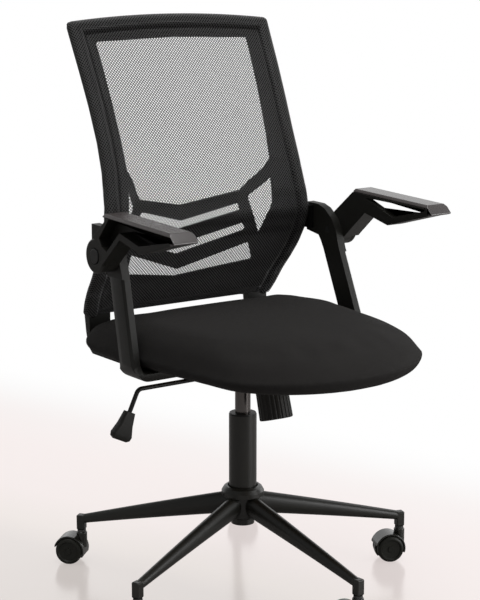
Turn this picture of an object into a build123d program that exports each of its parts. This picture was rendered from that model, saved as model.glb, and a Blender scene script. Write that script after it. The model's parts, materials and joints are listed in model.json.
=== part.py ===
from build123d import *
import os
from math import atan2, cos, degrees, hypot, pi, radians, sin, tan

# Swivel office chair with a mesh back, flip-up armrests, a centre-tilt mechanism, a gas lift and
# a five-leg base on twin-wheel casters.
# Millimetres, +Z up, floor at z = 0, origin on the floor under the column, the sitter faces -Y.
# The sitter's right is -X: that side carries the lift lever.

FAR = 400.0         # reaches past everything that it cuts

# ---------- fits ----------
RUN = 0.05          # radial running clearance of a turning or sliding fit
GAP = 0.3           # clearance between pieces that only lie beside each other
BOLT_GAP = 0.1      # radial clearance of a screw in its hole

# ---------- casters ----------
LEGS = 5
LEG_START = 56.0    # direction of the first leg, degrees from +X
CASTER_R = 314.0    # column axis to caster stem
WHEEL_D = 50.0
WHEEL_W = 18.0
WHEEL_WEB = 9.0     # plate of the hood between the two wheels
TRAIL = 21.0        # caster stem to wheel axle
AXLE_D = 6.0
STEM_D = 10.0
STEM_IN = 26.0      # length of stem inside the socket
STEM_FOOT_Z = 47.0  # lower end of the stem, above the wheels
HOOD_AIR = 1.5      # hood to wheel tread
HOOD_WALL = 2.5
HOOD_SIDE = 4.0     # how far the hood stops short of the wheel's outer face
COLLAR_D = 16.0
COLLAR_H = 4.0
CASTER_DIRS = [20.0, 132.0, 150.0, 160.0, 156.0]   # which way each caster happens to trail

# ---------- base ----------
SOCKET_Z = 65.0     # lower face of the leg-end sockets
SOCKET_H = 28.0
SOCKET_W = 15.5
HUB_BOSS_D = 42.0   # lower end of the hub
HUB_Z = 108.0
HUB_BODY_D = 60.0
FLANGE_D = 77.0
FLANGE_Z = 162.0    # underside of the hub's top ring
FLANGE_H = 17.0
HUB_AIR = 2.5           # ring round the tube
LEG_ROOT_R = 25.0   # legs start inside this radius, on the hub body
LEG_ROOT_Z = 145.0
LEG_ROOT_H = 42.0
LEG_ROOT_W = 29.0
LEG_END_H = 17.0
LEG_RISE = 1.0      # how much the leg bows upwards at mid length

# ---------- column and gas lift ----------
TUBE_D = 50.0
TUBE_TOP = 312.0
TUBE_WALL = 2.0
TUBE_TAPER_Z = 136.0    # the tube narrows below this height
TUBE_FOOT_D = 36.0
TUBE_FOOT_Z = 112.0
TUBE_FLOOR = 5.0
BUSH_H = 60.0
BUSH_LIP = 2.5
BEARING_H = 8.0
CYL_D = 28.0
CYL_WALL = 2.0
CYL_FOOT_Z = 186.0
CYL_TOP = 396.5
CYL_TOP_D = 26.0        # small end of the cone held in the mechanism
CONE_H = 20.0
CYL_HEAD = 12.0         # solid top of the cylinder round the valve
ROD_D = 10.0
PISTON_H = 16.0
PISTON_Z = 262.0
BUTTON_D = 8.0
BUTTON_UP = 7.8         # button standing above the cylinder

# ---------- tilt mechanism ----------
STEEL = 3.0
HOUSING_W = 64.0
HOUSING_FRONT = -104.0
HOUSING_REAR = 60.0
HOUSING_LOW = 367.0
HOUSING_NOSE = 398.0    # higher floor of the front end, over the tension knob
HOUSING_STEP = (-46.0, -24.0)   # where the floor drops from the nose to the box
HOUSING_RIM_FRONT = 419.0       # upper edges of its walls
HOUSING_RIM_REAR = 402.0
PIVOT_Y = -35.0
PIVOT_Z = 406.0
PIVOT_D = 10.0
PLATE_L = 190.0
PLATE_W = 160.0
PLATE_TOP = 428.0       # also the underside of the seat board
EAR_R = 13.0
BOLT_LEAN = 16.0        # tension bolt leans forward going down
BOLT_TOP_Y = -71.0
TENSION_D = 10.0
TENSION_LEN = 101.0
KNOB_D = 57.0
KNOB_END_D = 59.0
KNOB_START = 52.0       # along the bolt, from the plate
KNOB_LEN = 53.0
KNOB_BORE_D = 44.0
KNOB_FLOOR = 10.0
KNOB_FLUTES = 24
SPRING_D = 30.0
SPRING_WIRE = 4.0
SPRING_TURNS = 6

# ---------- lever ----------
LEVER_Y = 40.0
LEVER_Z = 378.0
LEVER_D = 8.0
LEVER_BEND_X = -196.0
LEVER_END_X = -214.0
LEVER_END_Z = 340.0
LEVER_BEND_R = 12.0
GRIP_LEN = 52.0
GRIP_TOP_W = 21.0
GRIP_END_W = 42.0
GRIP_T = 15.0
LEVER_ARM_W = 20.0
LEVER_OUT = 10.0        # pull-out travel that locks the tilt
LEVER_BUSH_D = 14.0
LEVER_AIR = 1.8         # round the rod in its sleeve, so that it can rock on the pin
LEVER_PIVOT_X = -26.0
LEVER_PIN_D = 3.0
LEVER_PIN_LEN = 13.0
LEVER_IN_X = -4.0       # inner end of the rod

# ---------- seat ----------
SEAT_W = 474.0
SEAT_FRONT = -348.0
SEAT_FRONT_W = 414.0        # the bowed front edge would meet the sides at this width
SEAT_FRONT_SIDE = -244.0    # and this far forward
SEAT_REAR = 188.0
SEAT_REAR_W = 462.0
SEAT_FRONT_R = 92.0
SEAT_REAR_R = 48.0
SEAT_LOW = PLATE_TOP + GAP
SEAT_THICK = 62.0
# roll of the cushion: share of the thickness, then how far the sides, front and rear draw in there
SEAT_ROLL = [
    (0.0, 24, 16, 14),
    (0.05, 14, 8, 8),
    (0.15, 6, 3, 3),
    (0.3, 1, 1, 0.5),
    (0.44, 0, 0, 0),
    (0.57, 1, 6, 2),
    (0.72, 4, 18, 7),
    (0.84, 10, 36, 18),
    (0.94, 22, 70, 40),
    (1.0, 44, 115, 75),
]
BOARD_T = 12.0
BOARD_INSET = 28.0
SCREW_D = 6.0
SCREW_LEN = 14.0
SCREW_HEAD_D = 11.0
SCREW_HEAD_H = 4.0
PLATE_SCREWS = (65.0, 75.0)
ARM_SCREWS_X = (SEAT_W / 2 - 60, SEAT_W / 2 - 39)
ARM_SCREWS_Y = -22.0
LEG_SCREWS_X = SEAT_W / 2 - 55
LEG_SCREWS_Y = (112.0, 142.0)

# ---------- armrest uprights ----------
UP_T = 16.0             # thickness across the chair
UP_DEEP = 48.5          # depth along Y
ARM_Y = 46.0            # flip pivot
ARM_Z = 620.0
UP_STAND_OFF = 7.0      # outer face at the pivot, out beyond the widest of the seat
UP_FACE_X = SEAT_W / 2 + UP_STAND_OFF
UP_SPLAY = 0.08         # outer face moves out this much per mm going down
UP_LEAN = 0.333         # front edge moves forward this much per mm going down
UP_TOP_Z = ARM_Z - 31   # end of the straight part
UP_TOP_Y = 12.0         # its front edge there
UP_HEAD = [(74, 44), (56, 38), (35, 22), (21, 0)]   # upper edge: y, and height over the pivot
FOOT_T = 15.0
FOOT_Z = PLATE_TOP - FOOT_T
FOOT_IN_X = SEAT_W / 2 - 69
FOOT_BEND_R = 30.0
FOOT_FRONT = -50.0
BEVEL_DEEP = 18.0       # bevel along the rear of the outer face
BEVEL_OUT = 5.0
BEVEL_FRONT = 4.0

# ---------- armrests ----------
ARM_HUB_D = 60.0
ARM_W = 36.0
ARM_HUB_W = 22.0
PAD_W = 46.0
PAD_T = 6.0
PAD_BEVEL = 4.0
PAD_REAR = (-6.0, ARM_Z + 80)
PAD_FRONT = (-204.0, ARM_Z + 71.5)
NOSE_OUT = 15.0         # the pad folds down over the arm's tip by this run and drop
NOSE_DROP = 14.0
NOSE_LIP = 2.5
TIP_Y = PAD_FRONT[0] - 4.0
TIP_Z = ARM_Z + 52.0
RAIL_T = 4.5            # rail under the pad
ARM_PLATE = 12.0        # inner wall of the arm, behind the outer recess
ARM_SHOULDER = [(66, ARM_Z + 22), (49, ARM_Z + 30)]     # rear top of the arm, over the hub
# underside of the strut, front to rear
ARM_STRUT = [(-104, ARM_Z + 24), (-41, ARM_Z + 39), (8, ARM_Z - 4), (30, ARM_Z - 24), (60, ARM_Z - 24)]
ARM_HOLE = [(-43, ARM_Z + 67), (-201, ARM_Z + 63.5), (-201, ARM_Z + 60.5), (-117, ARM_Z + 40.5)]
ARM_RECESS_LOW = [(-196, ARM_Z + 55), (-99, ARM_Z + 36.5), (-41, ARM_Z + 51), (0, ARM_Z + 14),
                  (15, ARM_Z + 20), (24, ARM_Z + 34)]
CAP_H = 10.0
CAP_RECESS = 3.0
PIN_D = 12.0
PIN_HEAD_D = 26.0
PIN_HEAD_H = 4.5

# ---------- back ----------
RIM_W = 17.0            # rounded bead round the frame
RIM_T = 20.0
PANEL_T = 9.0
BACK_LOW = 478.0
BACK_TOP = 1004.0
BACK_CROWN = 10.0
TOP_CORNER_R = 12.0
# height, slimmer than the seat by, rim y, centre y, y at the wing's end, y beside the rim
BACK_SHAPE = [
    (478, 32, 205, 223, 222, 212),
    (505, 25, 188, 221, 205, 194),
    (532, 22, 171, 216, 177, 176),
    (560, 19, 149, 212, 171, 158),
    (590, 15, 129, 207, 167, 143),
    (620, 15, 111, 202, 163, 130),
    (650, 15, 99, 198, 160, 124),
    (690, 19, 103, 191, 158, 122),
    (712, 21, 109, 186, 152, 124),
    (748, 24, 118, 140, 136, 130),
    (800, 26, 136, 146, 146, 146),
    (860, 25, 160, 168, 168, 168),
    (920, 23, 187, 194, 194, 194),
    (980, 21, 216, 222, 222, 222),
    (1020, 20, 235, 240, 240, 240),
]
BACK_STATIONS = [(z, SEAT_W / 2 - slim, *depths) for z, slim, *depths in BACK_SHAPE]
WING_X = (150.0, 126.0)     # wing's end at the bottom edge and at the lumbar bars
BAND_X = SEAT_W / 2 - 75     # inner side of the flat band
WINDOW_TOP = (SEAT_W / 2 - 70, 969.0)
WINDOW_SIDE = (SEAT_W / 2 - 78, 748.0)
LUMBAR_SIDE = (113.0, 690.0)
LUMBAR_MID_Z = 667.0
# each slot: upper edge at the middle, upper outer corner, lower outer corner, lower edge at the middle
SLOTS = [
    (637.5, (109, 667), (114, 652), 621.5),
    (593.5, (120, 629), (126, 614), 573.5),
    (544.5, (132, 591), (143, 556), 531.0),
]
SIDE_SLOT = [(124, 678), (158, 718), (161, 666), (144, 601)]
FRAME_LEG_X = (SEAT_W / 2 - 82, SEAT_W / 2 - 38)
FRAME_LEG_T = 14.0
FRAME_LEG_UP_Y = 196.0      # front of the leg where it leaves the panel
FRAME_LEG_LOW_Y = 203.0     # and behind the seat
FRAME_LEG_BEND_Z = 452.0
FRAME_LEG_END_Y = 96.0
FRAME_LEG_BEND = 30.0
LUG_Y = (88.0, 108.0)
LUG_Z = (ARM_Z - 2, ARM_Z + 40)
MESH_T = 1.4
MESH_IN = 5.0           # the cloth panel stops this far inside the rim
MESH_PITCH = 34.0       # a plain grid stands in for the fine net of the cloth
MESH_BAR = 11.0
MESH_COLUMNS = 11
MESH_ROWS = 14


# ---------- small helpers ----------
def prism(points, along):
    """Solid from a flat closed polygon pushed along a vector."""
    way = Vector(*along)
    return extrude(make_face(Polyline(*points, close=True)), amount=way.length, dir=way.normalized())


def prism_x(points_yz, x0, x1):
    return prism([(x0, y, z) for y, z in points_yz], (x1 - x0, 0, 0))


def prism_y(points_xz, y0, y1):
    return prism([(x, y0, z) for x, z in points_xz], (0, y1 - y0, 0))


def block(x0, x1, y0, y1, z0, z1):
    return Pos((x0 + x1) / 2, (y0 + y1) / 2, (z0 + z1) / 2) * Box(abs(x1 - x0), abs(y1 - y0), abs(z1 - z0))


def rod_z(d, z0, z1, x=0.0, y=0.0):
    return Pos(x, y, (z0 + z1) / 2) * Cylinder(d / 2, z1 - z0)


def rod_x(d, x0, x1, y, z):
    return Pos((x0 + x1) / 2, y, z) * Rot(0, 90, 0) * Cylinder(d / 2, abs(x1 - x0))


def rod_y(d, y0, y1, x, z):
    return Pos(x, (y0 + y1) / 2, z) * Rot(90, 0, 0) * Cylinder(d / 2, abs(y1 - y0))


def turned(profile):
    """Revolve a closed (radius, height) outline about the vertical axis."""
    return revolve(make_face(Polyline(*[(r, 0, z) for r, z in profile], close=True)), Axis.Z)


def soften(solid, edges, radius):
    """Fillet edges, with a smaller radius where the full one doesn't fit."""
    for r in (radius, radius * 0.6, radius * 0.3):
        try:
            return fillet(edges, r)
        except Exception:
            continue
    return solid


def mirrored(solid):
    return mirror(solid, about=Plane.YZ)


def solid_of(shape):
    """The one solid of a result that should be a single body."""
    return max(shape.solids(), key=lambda s: s.volume)


def rest_y(z):
    """Rim y of the back at a height, between the stations."""
    for low, high in zip(BACK_STATIONS, BACK_STATIONS[1:]):
        if low[0] <= z <= high[0]:
            return low[2] + (high[2] - low[2]) * (z - low[0]) / (high[0] - low[0])
    return BACK_STATIONS[0][2] if z < BACK_STATIONS[0][0] else BACK_STATIONS[-1][2]


# ---------- base ----------
def base_hub():
    """Turned steel hub: boss, body and a domed ring that stands clear of the column tube."""
    body = turned([(0, HUB_Z), (HUB_BOSS_D / 2, HUB_Z), (HUB_BOSS_D / 2, HUB_Z + 10),
                   (HUB_BODY_D / 2, HUB_Z + 15), (HUB_BODY_D / 2, FLANGE_Z), (FLANGE_D / 2, FLANGE_Z),
                   (FLANGE_D / 2, FLANGE_Z + FLANGE_H * 0.45), (FLANGE_D / 2 - 4, FLANGE_Z + FLANGE_H * 0.85),
                   (TUBE_D / 2 + 6, FLANGE_Z + FLANGE_H), (0, FLANGE_Z + FLANGE_H)])
    mouth = rod_z(TUBE_D + 2 * HUB_AIR, FLANGE_Z, FLANGE_Z + FLANGE_H + 1)
    return solid_of(body - tube_shape(0) - mouth - rod_z(TUBE_FOOT_D - 8, HUB_Z - 1, TUBE_FOOT_Z + 1))


def leg_station(t):
    """Centre radius, centre height, section height and width of a leg at 0 (hub) to 1 (end)."""
    end_z = SOCKET_Z + SOCKET_H - LEG_END_H / 2
    r = LEG_ROOT_R + (CASTER_R - LEG_ROOT_R) * t
    z = LEG_ROOT_Z + (end_z - LEG_ROOT_Z) * t + LEG_RISE * 4 * t * (1 - t)
    return (r, z, LEG_ROOT_H + (LEG_END_H - LEG_ROOT_H) * t, LEG_ROOT_W + (SOCKET_W - LEG_ROOT_W) * t)


def base_leg(angle):
    """Tapered oval tube with a square socket at its end, cut to the hub body at its root."""
    sections = []
    for t in (0.0, 0.25, 0.5, 0.75, 1.0):
        r, z, high, wide = leg_station(t)
        place = Plane(origin=(r, 0, z), x_dir=(0, 1, 0), z_dir=(1, 0, 0))
        sections.append(place * Ellipse(wide / 2, high / 2))
    tube = loft(sections)
    w = SOCKET_W / 2
    socket = block(CASTER_R - w, CASTER_R + w, -w, w, SOCKET_Z, SOCKET_Z + SOCKET_H)
    socket = soften(socket, socket.edges(), 2.5)
    leg = tube + socket
    leg -= rod_z(HUB_BODY_D, HUB_Z - 20, FLANGE_Z + FLANGE_H + 20) + rod_z(FLANGE_D, FLANGE_Z, FLANGE_Z + 40)
    leg -= rod_z(STEM_D + 2 * RUN, SOCKET_Z - 1, SOCKET_Z + STEM_IN + 0.5, CASTER_R)
    return Rot(0, 0, angle) * solid_of(leg)


# ---------- column and gas lift ----------
def tube_shape(grow):
    """Outside of the column tube with its cone, the same shape that the hub is bored to."""
    r, foot = TUBE_D / 2 + grow, TUBE_FOOT_D / 2 + grow
    return turned([(0, TUBE_FOOT_Z), (foot, TUBE_FOOT_Z), (r, TUBE_TAPER_Z), (r, TUBE_TOP), (0, TUBE_TOP)])


def column_tube():
    inner = turned([(0, TUBE_FOOT_Z + TUBE_FLOOR), (TUBE_FOOT_D / 2 - TUBE_WALL, TUBE_FOOT_Z + TUBE_FLOOR),
                    (TUBE_D / 2 - TUBE_WALL, TUBE_TAPER_Z), (TUBE_D / 2 - TUBE_WALL, TUBE_TOP + 1),
                    (0, TUBE_TOP + 1)])
    return solid_of(tube_shape(0) - inner)


def column_bush():
    """Plastic guide in the top of the tube, with a lip on its rim."""
    r = TUBE_D / 2 - TUBE_WALL
    sleeve = turned([(0, TUBE_TOP - BUSH_H), (r, TUBE_TOP - BUSH_H), (r, TUBE_TOP),
                     (TUBE_D / 2 - 0.6, TUBE_TOP), (TUBE_D / 2 - 1.2, TUBE_TOP + BUSH_LIP),
                     (0, TUBE_TOP + BUSH_LIP)])
    return sleeve - rod_z(CYL_D + 2 * RUN, TUBE_TOP - BUSH_H - 1, TUBE_TOP + BUSH_LIP + 1)


def thrust_bearing():
    low = TUBE_FOOT_Z + TUBE_FLOOR
    ring = rod_z(TUBE_FOOT_D - 2 * TUBE_WALL - 4, low, low + BEARING_H)
    return ring - rod_z(ROD_D + 2 * RUN, low - 1, low + BEARING_H + 1)


def piston_rod():
    low = TUBE_FOOT_Z + TUBE_FLOOR + BEARING_H
    rod = rod_z(ROD_D, TUBE_FOOT_Z + TUBE_FLOOR + RUN, PISTON_Z)
    foot = rod_z(ROD_D + 8, low + RUN, low + RUN + 3)
    piston = rod_z(CYL_D - 2 * CYL_WALL - 2 * RUN, PISTON_Z, PISTON_Z + PISTON_H)
    return rod + foot + piston


def gas_cylinder():
    r = CYL_D / 2
    body = turned([(0, CYL_FOOT_Z), (r - 1, CYL_FOOT_Z), (r, CYL_FOOT_Z + 1), (r, CYL_TOP - CONE_H),
                   (CYL_TOP_D / 2, CYL_TOP), (0, CYL_TOP)])
    chamber = rod_z(CYL_D - 2 * CYL_WALL, CYL_FOOT_Z + 8, CYL_TOP - CYL_HEAD)
    gland = rod_z(ROD_D + 2 * RUN, CYL_FOOT_Z - 1, CYL_FOOT_Z + 9)
    valve = rod_z(BUTTON_D + 2 * RUN, CYL_TOP - CYL_HEAD - 1, CYL_TOP + 1)
    return solid_of(body - chamber - gland - valve)


def gas_button():
    pin = rod_z(BUTTON_D, CYL_TOP - 5.0, CYL_TOP + BUTTON_UP)
    return soften(pin, pin.edges().sort_by(Axis.Z)[-1:], 1.2)


# ---------- casters ----------
def caster_hood():
    """Hood over both wheels with a plate between them, and a boss for the stem."""
    r_in = WHEEL_D / 2 + HOOD_AIR
    r_out = r_in + HOOD_WALL
    half = WHEEL_WEB / 2 + WHEEL_W - HOOD_SIDE
    axle_z = WHEEL_D / 2
    shell = Pos(TRAIL, 0, axle_z) * Rot(90, 0, 0) * (Cylinder(r_out, 2 * half) - Cylinder(r_in, 2 * half + 2))
    shell = soften(shell, shell.edges().filter_by(GeomType.CIRCLE).group_by(SortBy.RADIUS)[-1], 1.2)
    keep = prism_y([(TRAIL - 60, axle_z + 60), (TRAIL - 60, axle_z - 8), (TRAIL - 20, axle_z - 8),
                    (TRAIL, axle_z),
                    (TRAIL + 60, axle_z + 16), (TRAIL + 60, axle_z + 60)], -half - 5, half + 5)
    web = Pos(TRAIL, 0, axle_z) * Rot(90, 0, 0) * Cylinder(r_in + 0.5, WHEEL_WEB - 2 * GAP)
    web -= block(-80, 120, -30, 30, -20, axle_z - 16)
    top = SOCKET_Z - COLLAR_H - 0.2
    boss = rod_z(COLLAR_D + 4, axle_z + 6, top)
    boss = soften(boss, boss.edges().sort_by(Axis.Z)[-1:], 3.0)
    room = block(-60, 90, -half - 20, -WHEEL_WEB / 2 + GAP, -10, 90) & (
        Pos(TRAIL, 0, axle_z) * Rot(90, 0, 0) * Cylinder(r_in, 90))
    hood = (shell & keep) + web + (boss - room - mirror(room, about=Plane.XZ))
    hood -= rod_z(STEM_D, STEM_FOOT_Z, top + 1)
    hood -= Pos(TRAIL, 0, axle_z) * Rot(90, 0, 0) * Cylinder(AXLE_D / 2, 60)
    return solid_of(hood)


def caster_stem():
    top = SOCKET_Z - COLLAR_H - 0.2
    stem = rod_z(STEM_D, STEM_FOOT_Z, SOCKET_Z + STEM_IN)
    stem = soften(stem, stem.edges().sort_by(Axis.Z)[-1:], 2.0)
    return stem + rod_z(COLLAR_D, top, top + COLLAR_H)


def caster_axle():
    length = 2 * (WHEEL_W + WHEEL_WEB / 2) - 6
    return Pos(TRAIL, 0, WHEEL_D / 2) * Rot(90, 0, 0) * Cylinder(AXLE_D / 2, length)


def caster_wheel(side):
    """Wheel with a rounded tread and a shallow dish in its outer face."""
    r, w = WHEEL_D / 2, WHEEL_W
    wheel = turned([(AXLE_D / 2 + RUN, 0), (r - 3, 0), (r - 0.8, 1.6), (r, 4.5), (r, w - 5),
                    (r - 1.2, w - 1.6),
                    (r - 4, w), (r - 6, w), (r - 8, w - 2.2), (6.5, w - 3), (5.5, w - 1.5), (0, w - 1.5),
                    (0, w - 3), (AXLE_D / 2 + RUN, w - 3)])
    turn = -90 if side > 0 else 90
    return Pos(TRAIL, side * WHEEL_WEB / 2, WHEEL_D / 2) * Rot(turn, 0, 0) * wheel


def at_leg(k, solid):
    """Move a caster piece from the origin to leg k and turn it to its own trail direction."""
    a = radians(LEG_START + 360.0 / LEGS * k)
    return Pos(CASTER_R * cos(a), CASTER_R * sin(a), 0) * Rot(0, 0, CASTER_DIRS[k]) * solid


# ---------- tilt mechanism ----------
def housing_outline(shrink):
    """Side view of the pressed housing; shrink gives the hollow inside it, open at the top."""
    low, nose = HOUSING_LOW + shrink, HOUSING_NOSE + shrink
    front, rear = HOUSING_FRONT + shrink, HOUSING_REAR - shrink
    above = 20 if shrink else 0
    rim_front, rim_rear = HOUSING_RIM_FRONT + above, HOUSING_RIM_REAR + 2 * above
    step_front, step_rear = HOUSING_STEP
    return [(front, nose), (front, rim_front), (PIVOT_Y, rim_front), (rear, rim_rear), (rear, low + 8),
            (rear - 8, low), (step_rear, low), (step_front, nose)]


def knob_place(distance):
    """Plane square to the tension bolt, at a distance down from the plate."""
    a = radians(BOLT_LEAN)
    y = BOLT_TOP_Y - distance * sin(a)
    z = PLATE_TOP - STEEL - distance * cos(a)
    return Plane(origin=(0, y, z), x_dir=(1, 0, 0), z_dir=(0, -sin(a), -cos(a)))


def bolt_piece(d, start, length):
    return knob_place(start + length / 2) * Cylinder(d / 2, length)


def mech_housing():
    """Pressed steel box under the seat plate with the cone socket for the gas cylinder."""
    half = HOUSING_W / 2
    shell = prism_x(housing_outline(0), -half, half)
    shell -= prism_x(housing_outline(STEEL), -half + STEEL, half - STEEL)
    boss = rod_z(CYL_D + 14, HOUSING_LOW, CYL_TOP - 0.5)
    cone = turned([(0, HOUSING_LOW - 1), (CYL_D / 2, HOUSING_LOW - 1), (CYL_D / 2, CYL_TOP - CONE_H),
                   (CYL_TOP_D / 2, CYL_TOP), (0, CYL_TOP)])
    slot = bolt_piece(TENSION_D + 8, 20, 20)
    slot += Pos(0, -4, 0) * bolt_piece(TENSION_D + 8, 20, 20)
    body = (shell + boss) - cone - slot
    body -= rod_x(PIVOT_D, -half - 1, half + 1, PIVOT_Y, PIVOT_Z)
    body -= rod_x(LEVER_BUSH_D + 2 * RUN, -half - 1, -half + STEEL + 1, LEVER_Y, LEVER_Z)
    return solid_of(body)


def mech_axle():
    half = HOUSING_W / 2 + GAP + STEEL + 2
    return rod_x(PIVOT_D, -half, half, PIVOT_Y, PIVOT_Z)


def seat_plate():
    """Pressed plate screwed to the seat board, with two ears that hang on the tilt axle."""
    z0 = PLATE_TOP - STEEL
    plate = block(-PLATE_W / 2, PLATE_W / 2, -PLATE_L / 2, PLATE_L / 2, z0, PLATE_TOP)
    plate = soften(plate, plate.edges().filter_by(Axis.Z), 14)
    x0 = HOUSING_W / 2 + GAP
    ear = block(x0, x0 + STEEL, PIVOT_Y - EAR_R, PIVOT_Y + EAR_R, PIVOT_Z, z0 + 1)
    ear += rod_x(2 * EAR_R, x0, x0 + STEEL, PIVOT_Y, PIVOT_Z)
    ear -= rod_x(PIVOT_D + 2 * RUN, x0 - 1, x0 + STEEL + 1, PIVOT_Y, PIVOT_Z)
    plate = plate + ear + mirrored(ear)
    for x, y in plate_screws():
        plate -= rod_z(SCREW_D + 2 * BOLT_GAP, z0 - 1, PLATE_TOP + 1, x, y)
    return solid_of(plate - bolt_piece(TENSION_D, -12, 24))


def tension_bolt():
    """Bolt welded in the plate; its lower end holds the knob."""
    shank = bolt_piece(TENSION_D, 0, TENSION_LEN)
    return shank & block(-FAR, FAR, -FAR, FAR, 0, PLATE_TOP)


def tension_knob():
    """Fluted cup that hides the spring and turns on the bolt."""
    end = KNOB_START + KNOB_LEN
    cup = loft([knob_place(KNOB_START) * Circle(KNOB_D / 2), knob_place(end) * Circle(KNOB_END_D / 2)])
    cup = soften(cup, cup.edges().filter_by(GeomType.CIRCLE), 2.5)
    cup -= bolt_piece(KNOB_BORE_D, KNOB_START - 1, KNOB_LEN - KNOB_FLOOR + 1)
    cup -= bolt_piece(TENSION_D + 2 * RUN, end - KNOB_FLOOR - 2, TENSION_LEN - (end - KNOB_FLOOR) + 2.3)
    for i in range(KNOB_FLUTES):
        turn = knob_place(0) * Rot(0, 0, 360 / KNOB_FLUTES * i) * Plane.XY
        a = Vector(*turn.x_dir)
        top = knob_place(KNOB_START - 2).origin + a * (KNOB_D / 2 + 1.2)
        low = knob_place(end + 2).origin + a * (KNOB_END_D / 2 + 1.2)
        way = low - top
        cup -= Plane(origin=top + way * 0.5, z_dir=way) * Cylinder(2.6, way.length)
    return solid_of(cup)


def tension_spring():
    """Coil between the housing nose and the floor of the knob."""
    start = (PLATE_TOP - STEEL - HOUSING_NOSE) / cos(radians(BOLT_LEAN))
    start += SPRING_D / 2 * tan(radians(BOLT_LEAN))
    start += SPRING_WIRE / 2 + GAP + 0.5
    stop = KNOB_START + KNOB_LEN - KNOB_FLOOR - SPRING_WIRE / 2 - GAP
    coil = Helix(pitch=(stop - start) / SPRING_TURNS, height=stop - start, radius=SPRING_D / 2)
    wire = sweep(Plane(origin=coil @ 0, z_dir=coil % 0) * Circle(SPRING_WIRE / 2), path=coil)
    return solid_of(knob_place(start) * wire)


# ---------- lever ----------
def lever_bush():
    """Nylon sleeve that slides in the housing wall with the lever."""
    x = -HOUSING_W / 2
    sleeve = rod_x(LEVER_BUSH_D, x - 4, x + STEEL + LEVER_OUT + 2, LEVER_Y, LEVER_Z)
    sleeve -= rod_x(LEVER_D + 2 * LEVER_AIR, x - 5, x + STEEL + LEVER_OUT + 3, LEVER_Y, LEVER_Z)
    half = LEVER_BUSH_D / 2 + 1
    return sleeve - rod_y(LEVER_PIN_D + 2 * RUN, LEVER_Y - half, LEVER_Y + half, LEVER_PIVOT_X, LEVER_Z)


def lever_rod():
    """Bent steel rod on a cross pin; inside the housing a welded arm reaches over the valve button."""
    drop = Vector(LEVER_END_X - LEVER_BEND_X, 0, LEVER_END_Z - LEVER_Z).normalized()
    end = Vector(LEVER_END_X, LEVER_Y, LEVER_END_Z) + drop * (GRIP_LEN * 0.4)
    path = FilletPolyline((LEVER_IN_X, LEVER_Y, LEVER_Z), (LEVER_BEND_X, LEVER_Y, LEVER_Z), tuple(end),
                          radius=LEVER_BEND_R)
    rod = sweep(Plane(origin=path @ 0, z_dir=path % 0) * Circle(LEVER_D / 2), path=path)
    half = LEVER_ARM_W / 2
    top = CYL_TOP + BUTTON_UP + GAP
    arm = block(-half, half, LEVER_Y - 2, LEVER_Y + 2, LEVER_Z, top + STEEL)
    arm += block(-half, half, -BUTTON_D / 2 - 2, LEVER_Y + 2, top, top + STEEL)
    pin = rod_y(LEVER_PIN_D, LEVER_Y - LEVER_PIN_LEN / 2, LEVER_Y + LEVER_PIN_LEN / 2, LEVER_PIVOT_X, LEVER_Z)
    return solid_of(rod + arm + pin)


def lever_grip():
    """Flat tapered handle pushed on the end of the rod."""
    drop = Vector(LEVER_END_X - LEVER_BEND_X, 0, LEVER_END_Z - LEVER_Z).normalized()
    start = Vector(LEVER_END_X, LEVER_Y, LEVER_END_Z)
    sections = []
    for t, w, th in ((0.0, GRIP_TOP_W, 12.0), (0.45, GRIP_TOP_W * 1.4, GRIP_T), (0.8, GRIP_END_W, GRIP_T),
                     (0.93, GRIP_END_W * 0.92, GRIP_T * 0.9), (1.0, GRIP_END_W * 0.66, GRIP_T * 0.6)):
        place = Plane(origin=start + drop * (GRIP_LEN * t), x_dir=(0, 1, 0), z_dir=drop)
        sections.append(place * RectangleRounded(th, w, min(th, w) * 0.35))
    grip = loft(sections, ruled=True)
    grip = soften(grip, grip.faces().sort_by_distance(start + drop * GRIP_LEN)[0].edges(), 2.5)
    hole = Plane(origin=start + drop * (GRIP_LEN * 0.2), z_dir=drop) * Cylinder(LEVER_D / 2, GRIP_LEN * 0.4)
    return grip - hole


# ---------- seat ----------
def seat_face(z, side=0.0, front=0.0, rear=0.0):
    """Seat outline, drawn in at the sides, front and rear: bowed front, rounded corners."""
    w, front_w, rear_w = SEAT_W / 2 - side, SEAT_FRONT_W / 2 - side, SEAT_REAR_W / 2 - side
    corner_y, rear_y = SEAT_FRONT_SIDE + front, SEAT_REAR - rear
    edge = [ThreePointArc((-front_w, corner_y), (0, SEAT_FRONT + front), (front_w, corner_y)),
            Line((front_w, corner_y), (w, 0)), Line((w, 0), (rear_w, rear_y)),
            Line((rear_w, rear_y), (-rear_w, rear_y)), Line((-rear_w, rear_y), (-w, 0)),
            Line((-w, 0), (-front_w, corner_y))]
    face = make_face(Curve() + edge)
    face = fillet(face.vertices().filter_by(lambda v: v.Y < corner_y + 1), SEAT_FRONT_R - side)
    face = fillet(face.vertices().filter_by(lambda v: v.Y > rear_y - 1), SEAT_REAR_R - side * 0.6)
    return Pos(0, 0, z) * face


def seat_board():
    board = extrude(seat_face(PLATE_TOP, BOARD_INSET, BOARD_INSET, BOARD_INSET), amount=BOARD_T)
    for x, y in all_screws():
        board -= rod_z(SCREW_D + 2 * BOLT_GAP, PLATE_TOP - 1, PLATE_TOP + BOARD_T + 1, x, y)
    return board


def seat_cushion():
    """Foam and cloth as one closed body: tucked in below, widest low down, rolling over to a flat crown."""
    rings = [seat_face(SEAT_LOW + SEAT_THICK * share, side, front, rear)
             for share, side, front, rear in SEAT_ROLL]
    inset = BOARD_INSET - 0.5
    pocket_top = PLATE_TOP + BOARD_T + GAP
    pocket = extrude(seat_face(SEAT_LOW - 10, inset, inset, inset), amount=pocket_top - SEAT_LOW + 10)
    return solid_of(loft(rings, ruled=True) - pocket)


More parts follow.
